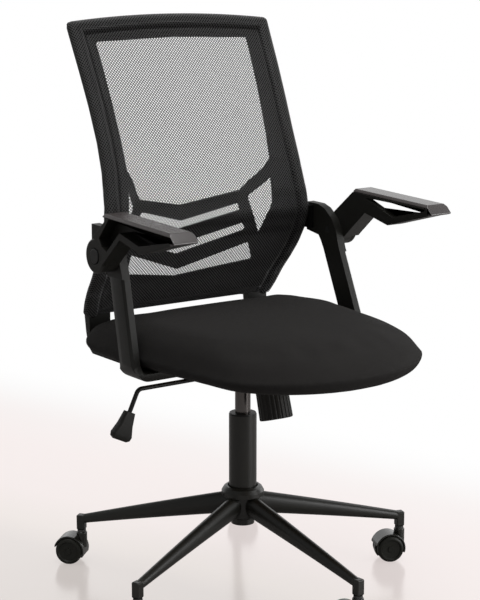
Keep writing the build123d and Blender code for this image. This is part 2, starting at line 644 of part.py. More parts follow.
def plate_screws():
    x, y = PLATE_SCREWS
    return [(sx * x, sy * y) for sx in (-1, 1) for sy in (-1, 1)]


def all_screws():
    arms = [(s * x, ARM_SCREWS_Y) for s in (-1, 1) for x in ARM_SCREWS_X]
    legs = [(s * LEG_SCREWS_X, y) for s in (-1, 1) for y in LEG_SCREWS_Y]
    return plate_screws() + arms + legs


def seat_screws():
    """Twelve identical pan-head screws from below into the seat board."""
    z0 = PLATE_TOP - STEEL
    made = []
    for x, y in all_screws():
        head = rod_z(SCREW_HEAD_D, z0 - SCREW_HEAD_H, z0, x, y)
        head = soften(head, head.edges().sort_by(Axis.Z)[:1], 1.5)
        screw = head + rod_z(SCREW_D, z0, z0 + SCREW_LEN, x, y)
        socket = Pos(x, y, z0 - SCREW_HEAD_H + 1.2) * extrude(RegularPolygon(2.3, 6), amount=-2.4)
        made.append(solid_of(screw - socket))
    return Compound(children=made)


def screw_sink(x, y, low):
    """Room for a screw below a piece that lies under the seat board: deep head recess and shank hole."""
    return (rod_z(SCREW_HEAD_D + 1.0, low - 1, PLATE_TOP - STEEL, x, y)
            + rod_z(SCREW_D + 2 * BOLT_GAP, low - 1, PLATE_TOP + 1, x, y))


# ---------- armrest uprights ----------
def up_front(z):
    return UP_TOP_Y - UP_LEAN * (UP_TOP_Z - z)


def up_face(z):
    return UP_FACE_X + UP_SPLAY * max(0.0, UP_TOP_Z - z)


def upright_outline():
    """Side view: foot, leaning bar, pivot head and the shoulder that runs back to the frame."""
    foot_top = PLATE_TOP + 12
    low_f, low_r = up_front(foot_top), up_front(foot_top) + UP_DEEP
    top_r = UP_TOP_Y + UP_DEEP
    reach = LUG_Y[1]
    return [(FOOT_FRONT + 8, FOOT_Z - 5), (low_r - 6, FOOT_Z - 5), (low_r, foot_top),
            (top_r - 2, UP_TOP_Z - 6),
            (top_r + 4, UP_TOP_Z + 6), (top_r + 12, UP_TOP_Z + 17), (reach, UP_TOP_Z + 23),
            (reach, ARM_Z + 45)] + [(y, ARM_Z + up) for y, up in UP_HEAD] + [
            (UP_TOP_Y + 4, UP_TOP_Z + 12), (UP_TOP_Y, UP_TOP_Z), (low_f, foot_top), (FOOT_FRONT, PLATE_TOP),
            (FOOT_FRONT, PLATE_TOP - 6)]


def upright_front():
    """Front view of the right upright: straight head, splayed bar, round corner and foot."""
    r = FOOT_BEND_R
    bend_z = FOOT_Z + r
    low_x, top_x = up_face(bend_z), up_face(UP_TOP_Z)
    high = ARM_Z + 60
    corner = [(-low_x + r + r * cos(pi + pi / 2 * i / 8), bend_z + r * sin(pi + pi / 2 * i / 8))
              for i in range(9)]
    return ([(-top_x, high), (-top_x, UP_TOP_Z)] + corner
            + [(-FOOT_IN_X, FOOT_Z), (-FOOT_IN_X, PLATE_TOP), (-up_face(PLATE_TOP) + UP_T, PLATE_TOP),
               (-top_x + UP_T, UP_TOP_Z), (-top_x + UP_T, high)])


def upright_bevel(z0, z1, edge, deep, out):
    """Wedge along one edge of the leaning bar's outer face."""
    rings = []
    for z in (z0, z1):
        x, y = -up_face(z), up_front(z) + edge
        rings.append(make_face(Polyline((x - 20, y + deep * 0.001, z), (x - 20, y + deep * 1.5, z),
                                        (x + out, y + deep * 1.5, z), (x + out, y + deep, z),
                                        (x - 0.001, y, z), close=True)))
    return loft(rings, ruled=True)


def arm_upright():
    """Right upright: a bent bar that turns in under the seat, with bevels along its outer face."""
    bar = prism_y(upright_front(), -FAR, FAR) & prism_x(upright_outline(), -FAR, 0)
    bar -= upright_bevel(PLATE_TOP + 2, UP_TOP_Z - 8, UP_DEEP - BEVEL_DEEP, BEVEL_DEEP, BEVEL_OUT)
    bar -= upright_bevel(PLATE_TOP + 2, UP_TOP_Z - 8, BEVEL_FRONT, -BEVEL_FRONT, BEVEL_FRONT)
    for x in ARM_SCREWS_X:
        bar -= screw_sink(-x, ARM_SCREWS_Y, FOOT_Z)
    bar -= rod_x(PIN_D, -FAR, 0, ARM_Y, ARM_Z)
    return solid_of(bar)


# ---------- armrests ----------
def pad_z(y, below):
    """Height on a line that runs parallel to the pad's top."""
    (ry, rz), (fy, fz) = PAD_REAR, PAD_FRONT
    return rz + (fz - rz) * (y - ry) / (fy - ry) - below


def armrest_outline():
    """Side view of the arm: hub, rising arm, lower strut and the rail under the pad."""
    ry = PAD_REAR[0]
    return ARM_SHOULDER + [(ry, pad_z(ry, PAD_T)), (TIP_Y, pad_z(TIP_Y, PAD_T)), (TIP_Y, TIP_Z)] + ARM_STRUT


def armrest_loop():
    """Moulded arm that swings about the pivot: a pierced inner wall with a deep rib along its edges."""
    x0 = UP_FACE_X + GAP
    arm = prism_x(armrest_outline(), -x0, -x0 - ARM_W)
    arm -= prism_x(ARM_HOLE, -x0 + 5, -x0 - ARM_W - 5)
    recess = [(y, pad_z(y, PAD_T + RAIL_T)) for y in (-8, ARM_RECESS_LOW[0][0])] + ARM_RECESS_LOW
    arm -= prism_x(recess, -x0 - ARM_PLATE, -x0 - ARM_W - 5)
    arm -= rod_x(ARM_HUB_D + 2, -x0 - ARM_HUB_W, -x0 - ARM_W - 5, ARM_Y, ARM_Z)
    arm = arm + rod_x(ARM_HUB_D, -x0, -x0 - ARM_HUB_W, ARM_Y, ARM_Z)
    arm -= rod_x(PIN_D + 2 * RUN, -x0 + 5, -x0 - ARM_W - 5, ARM_Y, ARM_Z)
    return solid_of(arm)


def armrest_pad():
    """Thin bevelled pad screwed on the rail, folded down over the arm's tip."""
    (ry, _), (fy, fz) = PAD_REAR, PAD_FRONT
    x0 = UP_FACE_X + GAP + 1.0
    side = [(ry, pad_z(ry, PAD_T)), (ry - 2, pad_z(ry - 2, 0)), (fy, fz), (fy - NOSE_OUT, fz - NOSE_DROP),
            (fy - NOSE_OUT, fz - NOSE_DROP - NOSE_LIP), (TIP_Y - GAP, TIP_Z),
            (TIP_Y - GAP, pad_z(TIP_Y, PAD_T))]
    ends = []
    for y in (ry + 5, fy - NOSE_OUT - 5):
        high, edge, low = pad_z(y, 0), pad_z(y, PAD_BEVEL), pad_z(y, 40)
        ends.append(make_face(Polyline((-x0, y, low), (-x0, y, edge), (-x0 - PAD_BEVEL, y, high),
                                       (-x0 - PAD_W + PAD_BEVEL, y, high), (-x0 - PAD_W, y, edge),
                                       (-x0 - PAD_W, y, low), close=True)))
    return solid_of(prism_x(side, -x0, -x0 - PAD_W) & loft(ends, ruled=True))


def pivot_cap():
    """Round cover on the outer end of the arm's hub, with a recessed middle."""
    x0 = UP_FACE_X + GAP + ARM_HUB_W
    cap = rod_x(ARM_HUB_D, -x0, -x0 - CAP_H, ARM_Y, ARM_Z)
    cap = soften(cap, cap.edges().filter_by(GeomType.CIRCLE).sort_by(Axis.X)[:1], 4.0)
    cap -= rod_x(PIN_HEAD_D + 2.0, -x0 - CAP_H + CAP_RECESS, -x0 - CAP_H - 1, ARM_Y, ARM_Z)
    return solid_of(cap - rod_x(PIN_D + 2 * RUN, -x0 + 1, -x0 - CAP_H - 1, ARM_Y, ARM_Z))


def pivot_pin():
    """Shoulder screw through the upright, the arm hub and the cap."""
    seat = UP_FACE_X + GAP + ARM_HUB_W + CAP_H - CAP_RECESS + RUN
    head = rod_x(PIN_HEAD_D, -seat, -seat - PIN_HEAD_H, ARM_Y, ARM_Z)
    head = soften(head, head.edges().filter_by(GeomType.CIRCLE).sort_by(Axis.X)[:1], 1.5)
    return head + rod_x(PIN_D, -seat, -UP_FACE_X + UP_T, ARM_Y, ARM_Z)


# ---------- back ----------
def back_section(station):
    """Closed plan outline of the frame at one height, from the middle to both rims."""
    z, w, rim, mid, wing, band = station
    share = min(1.0, max(0.0, (z - BACK_LOW) / (BACK_STATIONS[3][0] - BACK_LOW)))
    wing_x = WING_X[0] + (WING_X[1] - WING_X[0]) * share
    h, t = RIM_T / 2, PANEL_T / 2
    front = [(wing_x, wing - t), (BAND_X, band - t), (w - RIM_W - 6, rim - t + 2), (w - RIM_W, rim - h + 1),
             (w - RIM_W / 2, rim - h), (w - 3, rim - h + 2.5), (w, rim - 3)]
    back = [(w, rim + 3), (w - 3, rim + h - 2.5), (w - RIM_W / 2, rim + h), (w - RIM_W - 6, rim + t + 3),
            (BAND_X, band + t), (wing_x, wing + t)]
    half = front + back
    ring = [(0, mid - t)] + half + [(0, mid + t)] + [(-x, y) for x, y in reversed(half)]
    return make_face(Polyline(*[(x, y, z) for x, y in ring], close=True))


def mirrored_ring(half):
    """Close a half outline that starts and ends on the middle line."""
    return half + [(-x, z) for x, z in reversed(half) if x > 0.01]


def back_windows():
    """The big mesh window, the three V slots between the lumbar bars and the two side windows."""
    window = [(0, LUMBAR_MID_Z), LUMBAR_SIDE, WINDOW_SIDE, WINDOW_TOP, (0, WINDOW_TOP[1] + 5)]
    cuts = [mirrored_ring(window)]
    for top, up_corner, low_corner, low in SLOTS:
        cuts.append(mirrored_ring([(0, top), up_corner, low_corner, (0, low)]))
    cuts.append(SIDE_SLOT)
    cuts.append([(-x, z) for x, z in SIDE_SLOT])
    made = []
    for points in cuts:
        hole = prism_y(points, 0, FAR)
        made.append(soften(hole, hole.edges().filter_by(Axis.Y), 3.0))
    return made


def top_rim():
    """Bead along the crowned top edge, between the side rims, square to the leaning frame."""
    w = BACK_STATIONS[-2][1] - RIM_W / 2
    z = BACK_TOP - RIM_W / 2
    y = rest_y(z)
    lean = (rest_y(z + 10) - y) / 10
    size = hypot(1, lean)
    path = ThreePointArc((-w, y, z), (0, y + BACK_CROWN * lean, z + BACK_CROWN), (w, y, z))
    square = Plane(origin=path @ 0, z_dir=path % 0, x_dir=(0, 1 / size, -lean / size))
    return sweep(square * RectangleRounded(RIM_T / size - 0.6, RIM_W, RIM_W * 0.4), path=path)


def frame_leg():
    """Flat bar from the panel's lower corner down behind the seat and forward under it."""
    x0, x1 = FRAME_LEG_X
    t, b = FRAME_LEG_T, FRAME_LEG_BEND
    z_up, y_up, y_low, bend_z = BACK_LOW + 8, FRAME_LEG_UP_Y, FRAME_LEG_LOW_Y, FRAME_LEG_BEND_Z
    low = PLATE_TOP - t
    out = [(y_up, z_up), (y_up + 18, z_up), (y_low + 6, bend_z), (y_low + 2, low + b * 0.75),
           (y_low - 6, low + b * 0.25), (y_low - 16, low), (FRAME_LEG_END_Y, low),
           (FRAME_LEG_END_Y, PLATE_TOP),
           (y_low - 14, PLATE_TOP), (y_low - 8, PLATE_TOP + 8), (y_low - 7, bend_z)]
    leg = prism_x(out, x0, x1)
    for y in LEG_SCREWS_Y:
        leg -= screw_sink(LEG_SCREWS_X, y, low)
    return leg


def frame_limit():
    """Front view that trims the frame: crowned top, straight bottom with cut corners."""
    w, top, low = SEAT_W / 2 + 3, BACK_TOP, BACK_LOW
    corner = BACK_STATIONS[0][1] - 11
    half_top = BACK_STATIONS[-2][1]
    crown = [(half_top * t, top + BACK_CROWN * (1 - t * t)) for t in (1 - i / 10 for i in range(1, 20))]
    r = TOP_CORNER_R
    round_over = [(half_top - r * (1 - cos(a)), top - r * (1 - sin(a)))
                  for a in (radians(15 * i) for i in range(6))]
    right = [(corner, low), (w, low + 40), (w, top - 2 * r), (half_top, top - 2 * r)] + round_over
    return right + [(x, z) for x, z in crown if abs(x) < half_top - r] + [(-x, z) for x, z in reversed(right)]


def back_frame():
    """Moulded frame: beaded rim, flat band, V-shaped lumbar bars, lower panel and two legs."""
    shell = loft([back_section(s) for s in BACK_STATIONS], ruled=True)
    frame = shell & prism_y(frame_limit(), 0, FAR)
    for hole in back_windows():
        frame -= hole
    frame = frame + top_rim()
    leg = frame_leg()
    lug = block(BACK_STATIONS[6][1] - 3, UP_FACE_X - UP_T, LUG_Y[0], LUG_Y[1], LUG_Z[0], LUG_Z[1])
    frame = frame + leg + mirrored(leg) + lug + mirrored(lug)
    return solid_of(frame)


def back_mesh():
    """Mesh cloth stretched over the front of the rim, as one thin curved panel."""
    low, high = BACK_LOW + 4, BACK_TOP - 4
    heights = [low] + [s[0] for s in BACK_STATIONS if low + 5 < s[0] < high - 5] + [high]
    gap = RIM_T / 2 + GAP
    front = [(rest_y(z) - gap - MESH_T, z) for z in heights]
    rear = [(rest_y(z) - gap, z) for z in heights]
    sheet = prism_x(front + rear[::-1], -FAR, FAR)
    sides = [(s[1] - MESH_IN, s[0]) for s in BACK_STATIONS]
    outline = [(x, z) for x, z in sides] + [(-x, z) for x, z in reversed(sides)]
    panel = sheet & prism_y(outline, 0, FAR)
    opening = MESH_PITCH - MESH_BAR
    middle = (low + high) / 2
    across = [(i - (MESH_COLUMNS - 1) / 2) * MESH_PITCH for i in range(MESH_COLUMNS)]
    up = [middle + (j - (MESH_ROWS - 1) / 2) * MESH_PITCH for j in range(MESH_ROWS)]
    return solid_of(panel - [Pos(x, FAR / 2, z) * Box(opening, FAR, opening) for x in across for z in up])


# ---------- everything ----------
def all_parts():
    parts = {"base_hub": base_hub(), "column_tube": column_tube(), "column_bush": column_bush(),
             "thrust_bearing": thrust_bearing(), "piston_rod": piston_rod(), "gas_cylinder": gas_cylinder(),
             "gas_button": gas_button(), "mech_housing": mech_housing(), "mech_axle": mech_axle(),
             "seat_plate": seat_plate(), "tension_bolt": tension_bolt(), "tension_knob": tension_knob(),
             "tension_spring": tension_spring(), "lever_bush": lever_bush(), "lever_rod": lever_rod(),
             "lever_grip": lever_grip(), "seat_board": seat_board(), "seat_cushion": seat_cushion(),
             "seat_screws": seat_screws(), "back_frame": back_frame(), "back_mesh": back_mesh()}
    for name, made in (("arm_upright", arm_upright()), ("armrest_loop", armrest_loop()),
                       ("armrest_pad", armrest_pad()), ("pivot_cap", pivot_cap())):
        parts[name + "_right"] = made
        parts[name + "_left"] = mirrored(made)
    parts["pivot_pins"] = Compound(children=[pivot_pin(), mirrored(pivot_pin())])
    hood, stem, axle = caster_hood(), caster_stem(), caster_axle()
    wheels = {"a": caster_wheel(1), "b": caster_wheel(-1)}
    for k in range(LEGS):
        parts[f"base_leg_{k + 1}"] = base_leg(LEG_START + 360.0 / LEGS * k)
        parts[f"caster_hood_{k + 1}"] = at_leg(k, hood)
        parts[f"caster_stem_{k + 1}"] = at_leg(k, stem)
        parts[f"caster_axle_{k + 1}"] = at_leg(k, axle)
        for side, wheel in wheels.items():
            parts[f"caster_wheel_{k + 1}{side}"] = at_leg(k, wheel)
    return parts


def main():
    os.makedirs("parts", exist_ok=True)
    for name, solid in all_parts().items():
        export_step(solid, f"parts/{name}.step")


main()
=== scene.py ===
# %% [markdown]
# # A swivel office chair in Blender
# The chair comes from CAD as separate nodes on moving bodies. CAD gives the places and the sizes.
# Blender gives the looks: the stretched net of the back, the cloth of the seat, rounded plastic
# edges, paint, steel, and a studio to see them in. Nothing that CAD placed is moved here. A new
# piece takes its sizes from the nodes that it dresses, and rides on the same body as they do.

# %% Load the frame
import bpy
import bmesh
import json
import math
from math import radians
import numpy as np
from mathutils import Matrix, Vector


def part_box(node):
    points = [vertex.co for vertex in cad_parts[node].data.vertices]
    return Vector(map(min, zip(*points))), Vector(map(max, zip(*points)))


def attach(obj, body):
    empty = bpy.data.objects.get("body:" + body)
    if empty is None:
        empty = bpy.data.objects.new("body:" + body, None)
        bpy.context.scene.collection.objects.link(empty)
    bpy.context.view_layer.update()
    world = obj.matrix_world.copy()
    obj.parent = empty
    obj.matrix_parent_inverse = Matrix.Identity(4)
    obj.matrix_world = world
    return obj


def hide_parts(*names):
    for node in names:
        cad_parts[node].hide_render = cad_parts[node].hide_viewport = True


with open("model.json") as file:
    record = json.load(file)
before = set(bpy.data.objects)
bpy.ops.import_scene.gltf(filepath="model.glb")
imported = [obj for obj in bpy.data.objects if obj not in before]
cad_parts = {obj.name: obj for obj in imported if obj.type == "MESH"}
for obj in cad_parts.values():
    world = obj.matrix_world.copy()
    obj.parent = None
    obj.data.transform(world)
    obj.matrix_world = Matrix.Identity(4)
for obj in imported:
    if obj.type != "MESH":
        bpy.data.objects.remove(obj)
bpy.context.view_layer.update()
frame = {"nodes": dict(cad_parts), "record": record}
nodes = frame["nodes"]
scene = bpy.context.scene

# %% [markdown]
# ## Camera
# A product picture of a chair is taken with a long lens from a little above the seat, because a
# short lens makes the uprights lean together. The camera stands on the lever side, three metres
# away, and looks down a little. A small shift of the lens centres the chair. Tilting the camera
# further would do that too, but would make the upright lines lean more.

# %% Camera
CAMERA_PLACE = (-1.7028, -2.3395, 1.1018)
CAMERA_LOOK = (0.57647, 0.79492, -0.18917)
LENS, SENSOR, SHIFT_UP = 99.94, 36.0, -0.0229

camera = bpy.data.objects.new("camera", bpy.data.cameras.new("camera"))
scene.collection.objects.link(camera)
camera.location = CAMERA_PLACE
camera.rotation_euler = Vector(CAMERA_LOOK).to_track_quat("-Z", "Y").to_euler()
camera.data.lens = LENS
camera.data.sensor_width = SENSOR
camera.data.shift_y = SHIFT_UP
scene.camera = camera
print("camera:", round(camera.location.length, 2), "m from the floor's middle, lens", LENS, "mm")

# %% [markdown]
# ## Studio
# The chair is nearly black, so its form shows only in what it reflects. The studio has four parts:
# a dim room, a curved wall of white paper behind the chair, three soft lamps and a pale floor.
#
# The view transform is Standard, so that a colour renders about as it is written. The shaders below
# are all built from a few kinds of node, and five helpers keep that short. The last one tells
# rays apart: the Light Path node knows whether a ray comes from the eye or from a surface.

# %% Helpers for shader nodes
scene.view_settings.view_transform = "Standard"


def new_node(tree, kind, **settings):
    """A shader node of a kind, with its properties set."""
    node = tree.nodes.new("ShaderNode" + kind)
    for name, value in settings.items():
        setattr(node, name, value)
    return node


def set_inputs(node, values):
    """Set plain values on a node's inputs, by name."""
    for name, value in values.items():
        node.inputs[name].default_value = value


def wire(tree, source, target):
    """Feed an input from another node's output, or with a plain number."""
    if isinstance(source, (int, float)):
        target.default_value = source
    else:
        tree.links.new(source, target)


def math_node(tree, operation, a, b=None):
    """A math node fed by outputs or plain numbers; gives back its own output."""
    node = new_node(tree, "Math", operation=operation)
    wire(tree, a, node.inputs[0])
    if b is not None:
        wire(tree, b, node.inputs[1])
    return node.outputs[0]


def seen_by(tree, *rays):
    """1 for rays of the named kinds, else 0."""
    path = new_node(tree, "LightPath")
    total = path.outputs[f"Is {rays[0]} Ray"]
    for kind in rays[1:]:
        total = math_node(tree, "MAXIMUM", total, path.outputs[f"Is {kind} Ray"])
    return total


# %% [markdown]
# ### The dim room
# The background has to be white, yet a white world would light the chair from all sides and wash
# its form out. So the world is white for the eye, and for what is seen through clear things. For
# all other rays it is a dim room, which only keeps the shadows from going quite black.

# %% The dim room
ROOM = 0.26             # strength of the dim room, where white is 1


def white_for(tree, *rays):
    """Strength: white for rays of the named kinds, the dim room for all others."""
    extra = math_node(tree, "MULTIPLY", seen_by(tree, *rays), 1 - ROOM)
    return math_node(tree, "ADD", extra, ROOM)


scene.world = bpy.data.worlds.new("dim room")
scene.world.use_nodes = True
tree = scene.world.node_tree
tree.nodes.clear()
room = new_node(tree, "Background")
set_inputs(room, {"Color": (1, 1, 1, 1)})
wire(tree, white_for(tree, "Camera", "Transmission"), room.inputs["Strength"])
wire(tree, room.outputs[0], new_node(tree, "OutputWorld").inputs["Surface"])
print("room strength:", ROOM)

# %% [markdown]
# ### The paper wall
# At a glancing angle even black plastic is a mirror, so the tops of the arms and of the legs show
# what stands behind the chair. In a studio that is a sheet of white paper, and it gives them
# their bright edges. A flat plane would do, but it ends too soon at the sides. One upright edge
# spun about the chair makes a wall that is as far away everywhere. The camera doesn't see
# it, so that the chair can also be looked at from behind the wall.

# %% Shape of the paper wall
WALL_R, WALL_H = 4.6, 3.2
WALL_FROM, WALL_TO = -12.0, 114.0         # degrees from +X
WALL_STEPS = 48


def paper_wall():
    """A curved wall behind the chair: one upright edge, spun about the middle."""
    start = radians(WALL_FROM)
    bm = bmesh.new()
    low = bm.verts.new((WALL_R * math.cos(start), WALL_R * math.sin(start), 0))
    high = bm.verts.new(low.co + Vector((0, 0, WALL_H)))
    edge = bm.edges.new((low, high))
    bmesh.ops.spin(bm, geom=[low, high, edge], cent=(0, 0, 0), axis=(0, 0, 1), steps=WALL_STEPS,
                   angle=radians(WALL_TO - WALL_FROM))
    mesh = bpy.data.meshes.new("paper_wall")
    bm.to_mesh(mesh)
    bm.free()
    wall = bpy.data.objects.new("paper_wall", mesh)
    scene.collection.objects.link(wall)
    wall.visible_camera = False
    return wall


wall = paper_wall()
print("paper wall:", len(wall.data.polygons), "faces over", WALL_TO - WALL_FROM, "degrees")


# %% [markdown]
# The paper glows by itself, but only for rays that come off a glossy surface or through a clear one.
# For the rest it is as dim as the room, so it adds little light of its own.


# %% White paper
def white_paper():
    """Paper that glows white in reflections and is as dim as the room for all other rays."""
    paper = bpy.data.materials.new("white_paper")
    paper.use_nodes = True
    tree = paper.node_tree
    tree.nodes.clear()
    glow = new_node(tree, "Emission")
    wire(tree, white_for(tree, "Glossy", "Transmission"), glow.inputs["Strength"])
    wire(tree, glow.outputs[0], new_node(tree, "OutputMaterial").inputs["Surface"])
    return paper


wall.data.materials.append(white_paper())
print("wall material:", wall.data.materials[0].name)

# %% [markdown]
# ### Soft lamps
# A large lamp close by gives soft shadows and broad highlights. The biggest hangs above and lights
# the seat and the tops of the arms. A second one in front, to the right, shapes the net's threads
# and the column. A narrow one at the side draws a line along the right edges.

# %% Soft lamps
LAMPS = {               # place, aim, width, height, watts
    "top_lamp": ((-0.2, -0.1, 3.2), (0, 0, 0.5), 2.4, 2.4, 56),
    "front_lamp": ((1.75, -2.5, 0.95), (0, 0, 0.65), 1.5, 1.8, 34),
    "right_lamp": ((2.7, 0.2, 1.6), (0, 0, 0.7), 0.9, 2.2, 12),
}


def soft_lamp(name, place, aim, wide, high, power):
    """A rectangular soft box at a place, turned towards a point."""
    lamp = bpy.data.objects.new(name, bpy.data.lights.new(name, "AREA"))
    lamp.data.shape = "RECTANGLE"
    lamp.data.size = wide
    lamp.data.size_y = high
    lamp.data.energy = power
    lamp.location = place
    lamp.rotation_euler = (Vector(aim) - Vector(place)).to_track_quat("-Z", "Y").to_euler()
    scene.collection.objects.link(lamp)


for name, values in LAMPS.items():
    soft_lamp(name, *values)
print("lamps:", list(LAMPS))

# %% [markdown]
# ## Shader groups
# Every finish of the chair is a Principled shader with some node work in front of it. What several
# finishes share is a node group with named inputs and outputs, built once. The shader itself
# stays in the material, because an exported model can only read it there.


# %% An empty group
def new_group(name, inputs, outputs):
    """An empty shader group: inputs are (name, kind, default) and outputs (name, kind)."""
    group = bpy.data.node_groups.new(name, "ShaderNodeTree")
    for label, kind, value in inputs:
        socket = group.interface.new_socket(label, in_out="INPUT", socket_type="NodeSocket" + kind)
        socket.default_value = value
    for label, kind in outputs:
        group.interface.new_socket(label, in_out="OUTPUT", socket_type="NodeSocket" + kind)
    return group, group.nodes.new("NodeGroupInput"), group.nodes.new("NodeGroupOutput")


def noise(tree, place, scale, detail):
    """A noise texture over a place."""
    texture = new_node(tree, "TexNoise")
    wire(tree, place, texture.inputs["Vector"])
    wire(tree, scale, texture.inputs["Scale"])
    wire(tree, detail, texture.inputs["Detail"])
    return texture


def tinted(tree, colour, factor):
    """A colour multiplied by a factor."""
    mix = new_node(tree, "MixRGB", blend_type="MULTIPLY")
    wire(tree, 1.0, mix.inputs[0])
    wire(tree, colour, mix.inputs[1])
    wire(tree, factor, mix.inputs[2])
    return mix.outputs[0]


# %% [markdown]
# ### Moulded grain
# Plastic parts come from a tool with an etched surface, and powder paint dries with a slight orange
# peel. Under a lens both are a fine pebbled skin. An image of it would need a layout on every part.
# Noise on Object coordinates needs none: fine noise gives the height, and slower noise varies
# colour and gloss a little, as handling does.

# %% Grain group
GRAIN_DETAIL = 2.0
SLOW_SCALE, SLOW_DETAIL = 26.0, 4.0
SHADE_LOW, SHADE_SPAN = 0.85, 0.3         # slow noise shades the colour from 0.85 to 1.15

grain, g_in, g_out = new_group(
    "moulded_grain",
    [("Grain", "Float", 1500.0), ("Colour", "Color", (0.02, 0.02, 0.02, 1)), ("Rough", "Float", 0.5),
     ("Vary", "Float", 0.06)],
    [("Colour", "Color"), ("Rough", "Float"), ("Height", "Float")])
place = new_node(grain, "TexCoord").outputs["Object"]
fine = noise(grain, place, g_in.outputs["Grain"], GRAIN_DETAIL)
slow = noise(grain, place, SLOW_SCALE, SLOW_DETAIL)
swing = math_node(grain, "MULTIPLY", math_node(grain, "SUBTRACT", slow.outputs["Fac"], 0.5),
                  g_in.outputs["Vary"])
shade = math_node(grain, "ADD", math_node(grain, "MULTIPLY", slow.outputs["Fac"], SHADE_SPAN), SHADE_LOW)
wire(grain, tinted(grain, g_in.outputs["Colour"], shade), g_out.inputs["Colour"])
wire(grain, math_node(grain, "ADD", g_in.outputs["Rough"], swing), g_out.inputs["Rough"])
wire(grain, fine.outputs["Fac"], g_out.inputs["Height"])
print("grain group:", len(grain.nodes), "nodes")

# %% [markdown]
# ### Paint, plastic and metal
# Black on a chair is many blacks. The base has satin powder paint, the casters are glossy nylon, the
# frame and arms are textured plastic, and the armrest pads are smoother and browner. They differ in
# roughness, grain and specular level far more than in colour. So one function makes them all. Putting
# a group in front of the shader is a helper of its own, because the cloths need that too.


# %% A moulded or painted finish
def with_skin(name, group, bump, values):
    """A Principled material with a group in front; bump is the depth of its relief in metres."""
    made = bpy.data.materials.new(name)
    made.use_nodes = True
    tree = made.node_tree
    surface = tree.nodes["Principled BSDF"]
    skin = new_node(tree, "Group", node_tree=group)
    set_inputs(skin, values)
    relief = new_node(tree, "Bump")
    wire(tree, bump, relief.inputs["Distance"])
    wire(tree, skin.outputs["Height"], relief.inputs["Height"])
    wire(tree, skin.outputs["Colour"], surface.inputs["Base Color"])
    wire(tree, relief.outputs["Normal"], surface.inputs["Normal"])
    return made, skin, surface


def finish(name, colour, rough, grain_scale, bump, vary=0.06, metallic=0.0, coat=0.0, coat_rough=0.1,
           spec=0.5):
    """A finish with moulded grain."""
    made, skin, surface = with_skin(name, grain, bump, {"Grain": grain_scale, "Colour": (*colour, 1),
                                                        "Rough": rough, "Vary": vary})
    wire(made.node_tree, skin.outputs["Rough"], surface.inputs["Roughness"])
    set_inputs(surface, {"Metallic": metallic, "Coat Weight": coat, "Coat Roughness": coat_rough,
                         "Specular IOR Level": spec})
    return made


# %% [markdown]
# Each finish below has the name of a material slot of the chair, and holds only what is its own.
# Colours are linear. Black plastic gives back only one or two hundredths of the light, and the
# browner pads a little more. The frame also has a second, darker black for under the net, which is
# painted shade.

# %% The finishes by slot
FINISH_VALUES = {
    "base_paint": dict(colour=(0.0130, 0.0125, 0.0095), rough=0.38, grain_scale=420.0, bump=0.00008,
                       coat=0.12, coat_rough=0.16),
    "mech_paint": dict(colour=(0.012, 0.012, 0.0118), rough=0.42, grain_scale=700.0, bump=0.00010, spec=0.4),
    "black_nylon": dict(colour=(0.010, 0.0098, 0.0092), rough=0.45, grain_scale=1400.0, bump=0.00004,
                        spec=0.35),
    "frame_plastic": dict(colour=(0.0108, 0.0104, 0.0085), rough=0.45, grain_scale=1500.0, bump=0.00008,
                          spec=0.35),
    "pad_plastic": dict(colour=(0.055, 0.047, 0.046), rough=0.27, grain_scale=1700.0, bump=0.00001,
                        vary=0.03, spec=1.0),
    "caster_gloss": dict(colour=(0.0150, 0.0148, 0.0115), rough=0.24, grain_scale=900.0, bump=0.00001,
                         coat=0.4, coat_rough=0.08, spec=0.4),
    "wheel_nylon": dict(colour=(0.0165, 0.0168, 0.0130), rough=0.42, grain_scale=900.0, bump=0.00004,
                        spec=0.3),
    "steel": dict(colour=(0.12, 0.12, 0.12), rough=0.34, grain_scale=900.0, bump=0.00003, vary=0.15,
                  metallic=1.0),
    "lift_chrome": dict(colour=(0.14, 0.13, 0.125), rough=0.22, grain_scale=600.0, bump=0.00001, vary=0.1,
                        metallic=1.0),
    "screw_steel": dict(colour=(0.05, 0.05, 0.05), rough=0.38, grain_scale=900.0, bump=0.00002,
                        metallic=0.8),
    "board_wood": dict(colour=(0.30, 0.20, 0.115), rough=0.7, grain_scale=300.0, bump=0.0001),
}
FINISHES = {name: finish(name, **values) for name, values in FINISH_VALUES.items()}
# A darker, rougher copy of the frame's plastic: painted shade for where the net covers the frame.
PAINTED_NET_SHADE = finish("frame_painted_net_shade", (0.004, 0.004, 0.0038), 0.6, 1500.0, 0.00008, spec=0.1)
print("finishes:", list(FINISHES))

# %% [markdown]
# ### Cloth
# Two cloths cover this chair. The seat has a close plain weave in matt black, and the back has an
# open net of round polyester threads. A weave is two sets of threads at right angles, each raised
# where it passes over the other, so the product of two sine waves gives its height. Noise breaks
# the pattern up as uneven yarn does, and broad noise mottles it as dye does.

# %% Weave group
YARN_SCALE, YARN_DETAIL, YARN_ROUGH = 320.0, 5.0, 0.65
DYE_SCALE, DYE_DETAIL, DYE_SHARE = 9.0, 3.0, 0.25
WEAVE_SHARE, WEAVE_BASE = 0.10, 0.72      # how much the threads shade the colour, and what is left
YARN_HEIGHT = 1.4                         # height of the uneven yarn against that of the weave

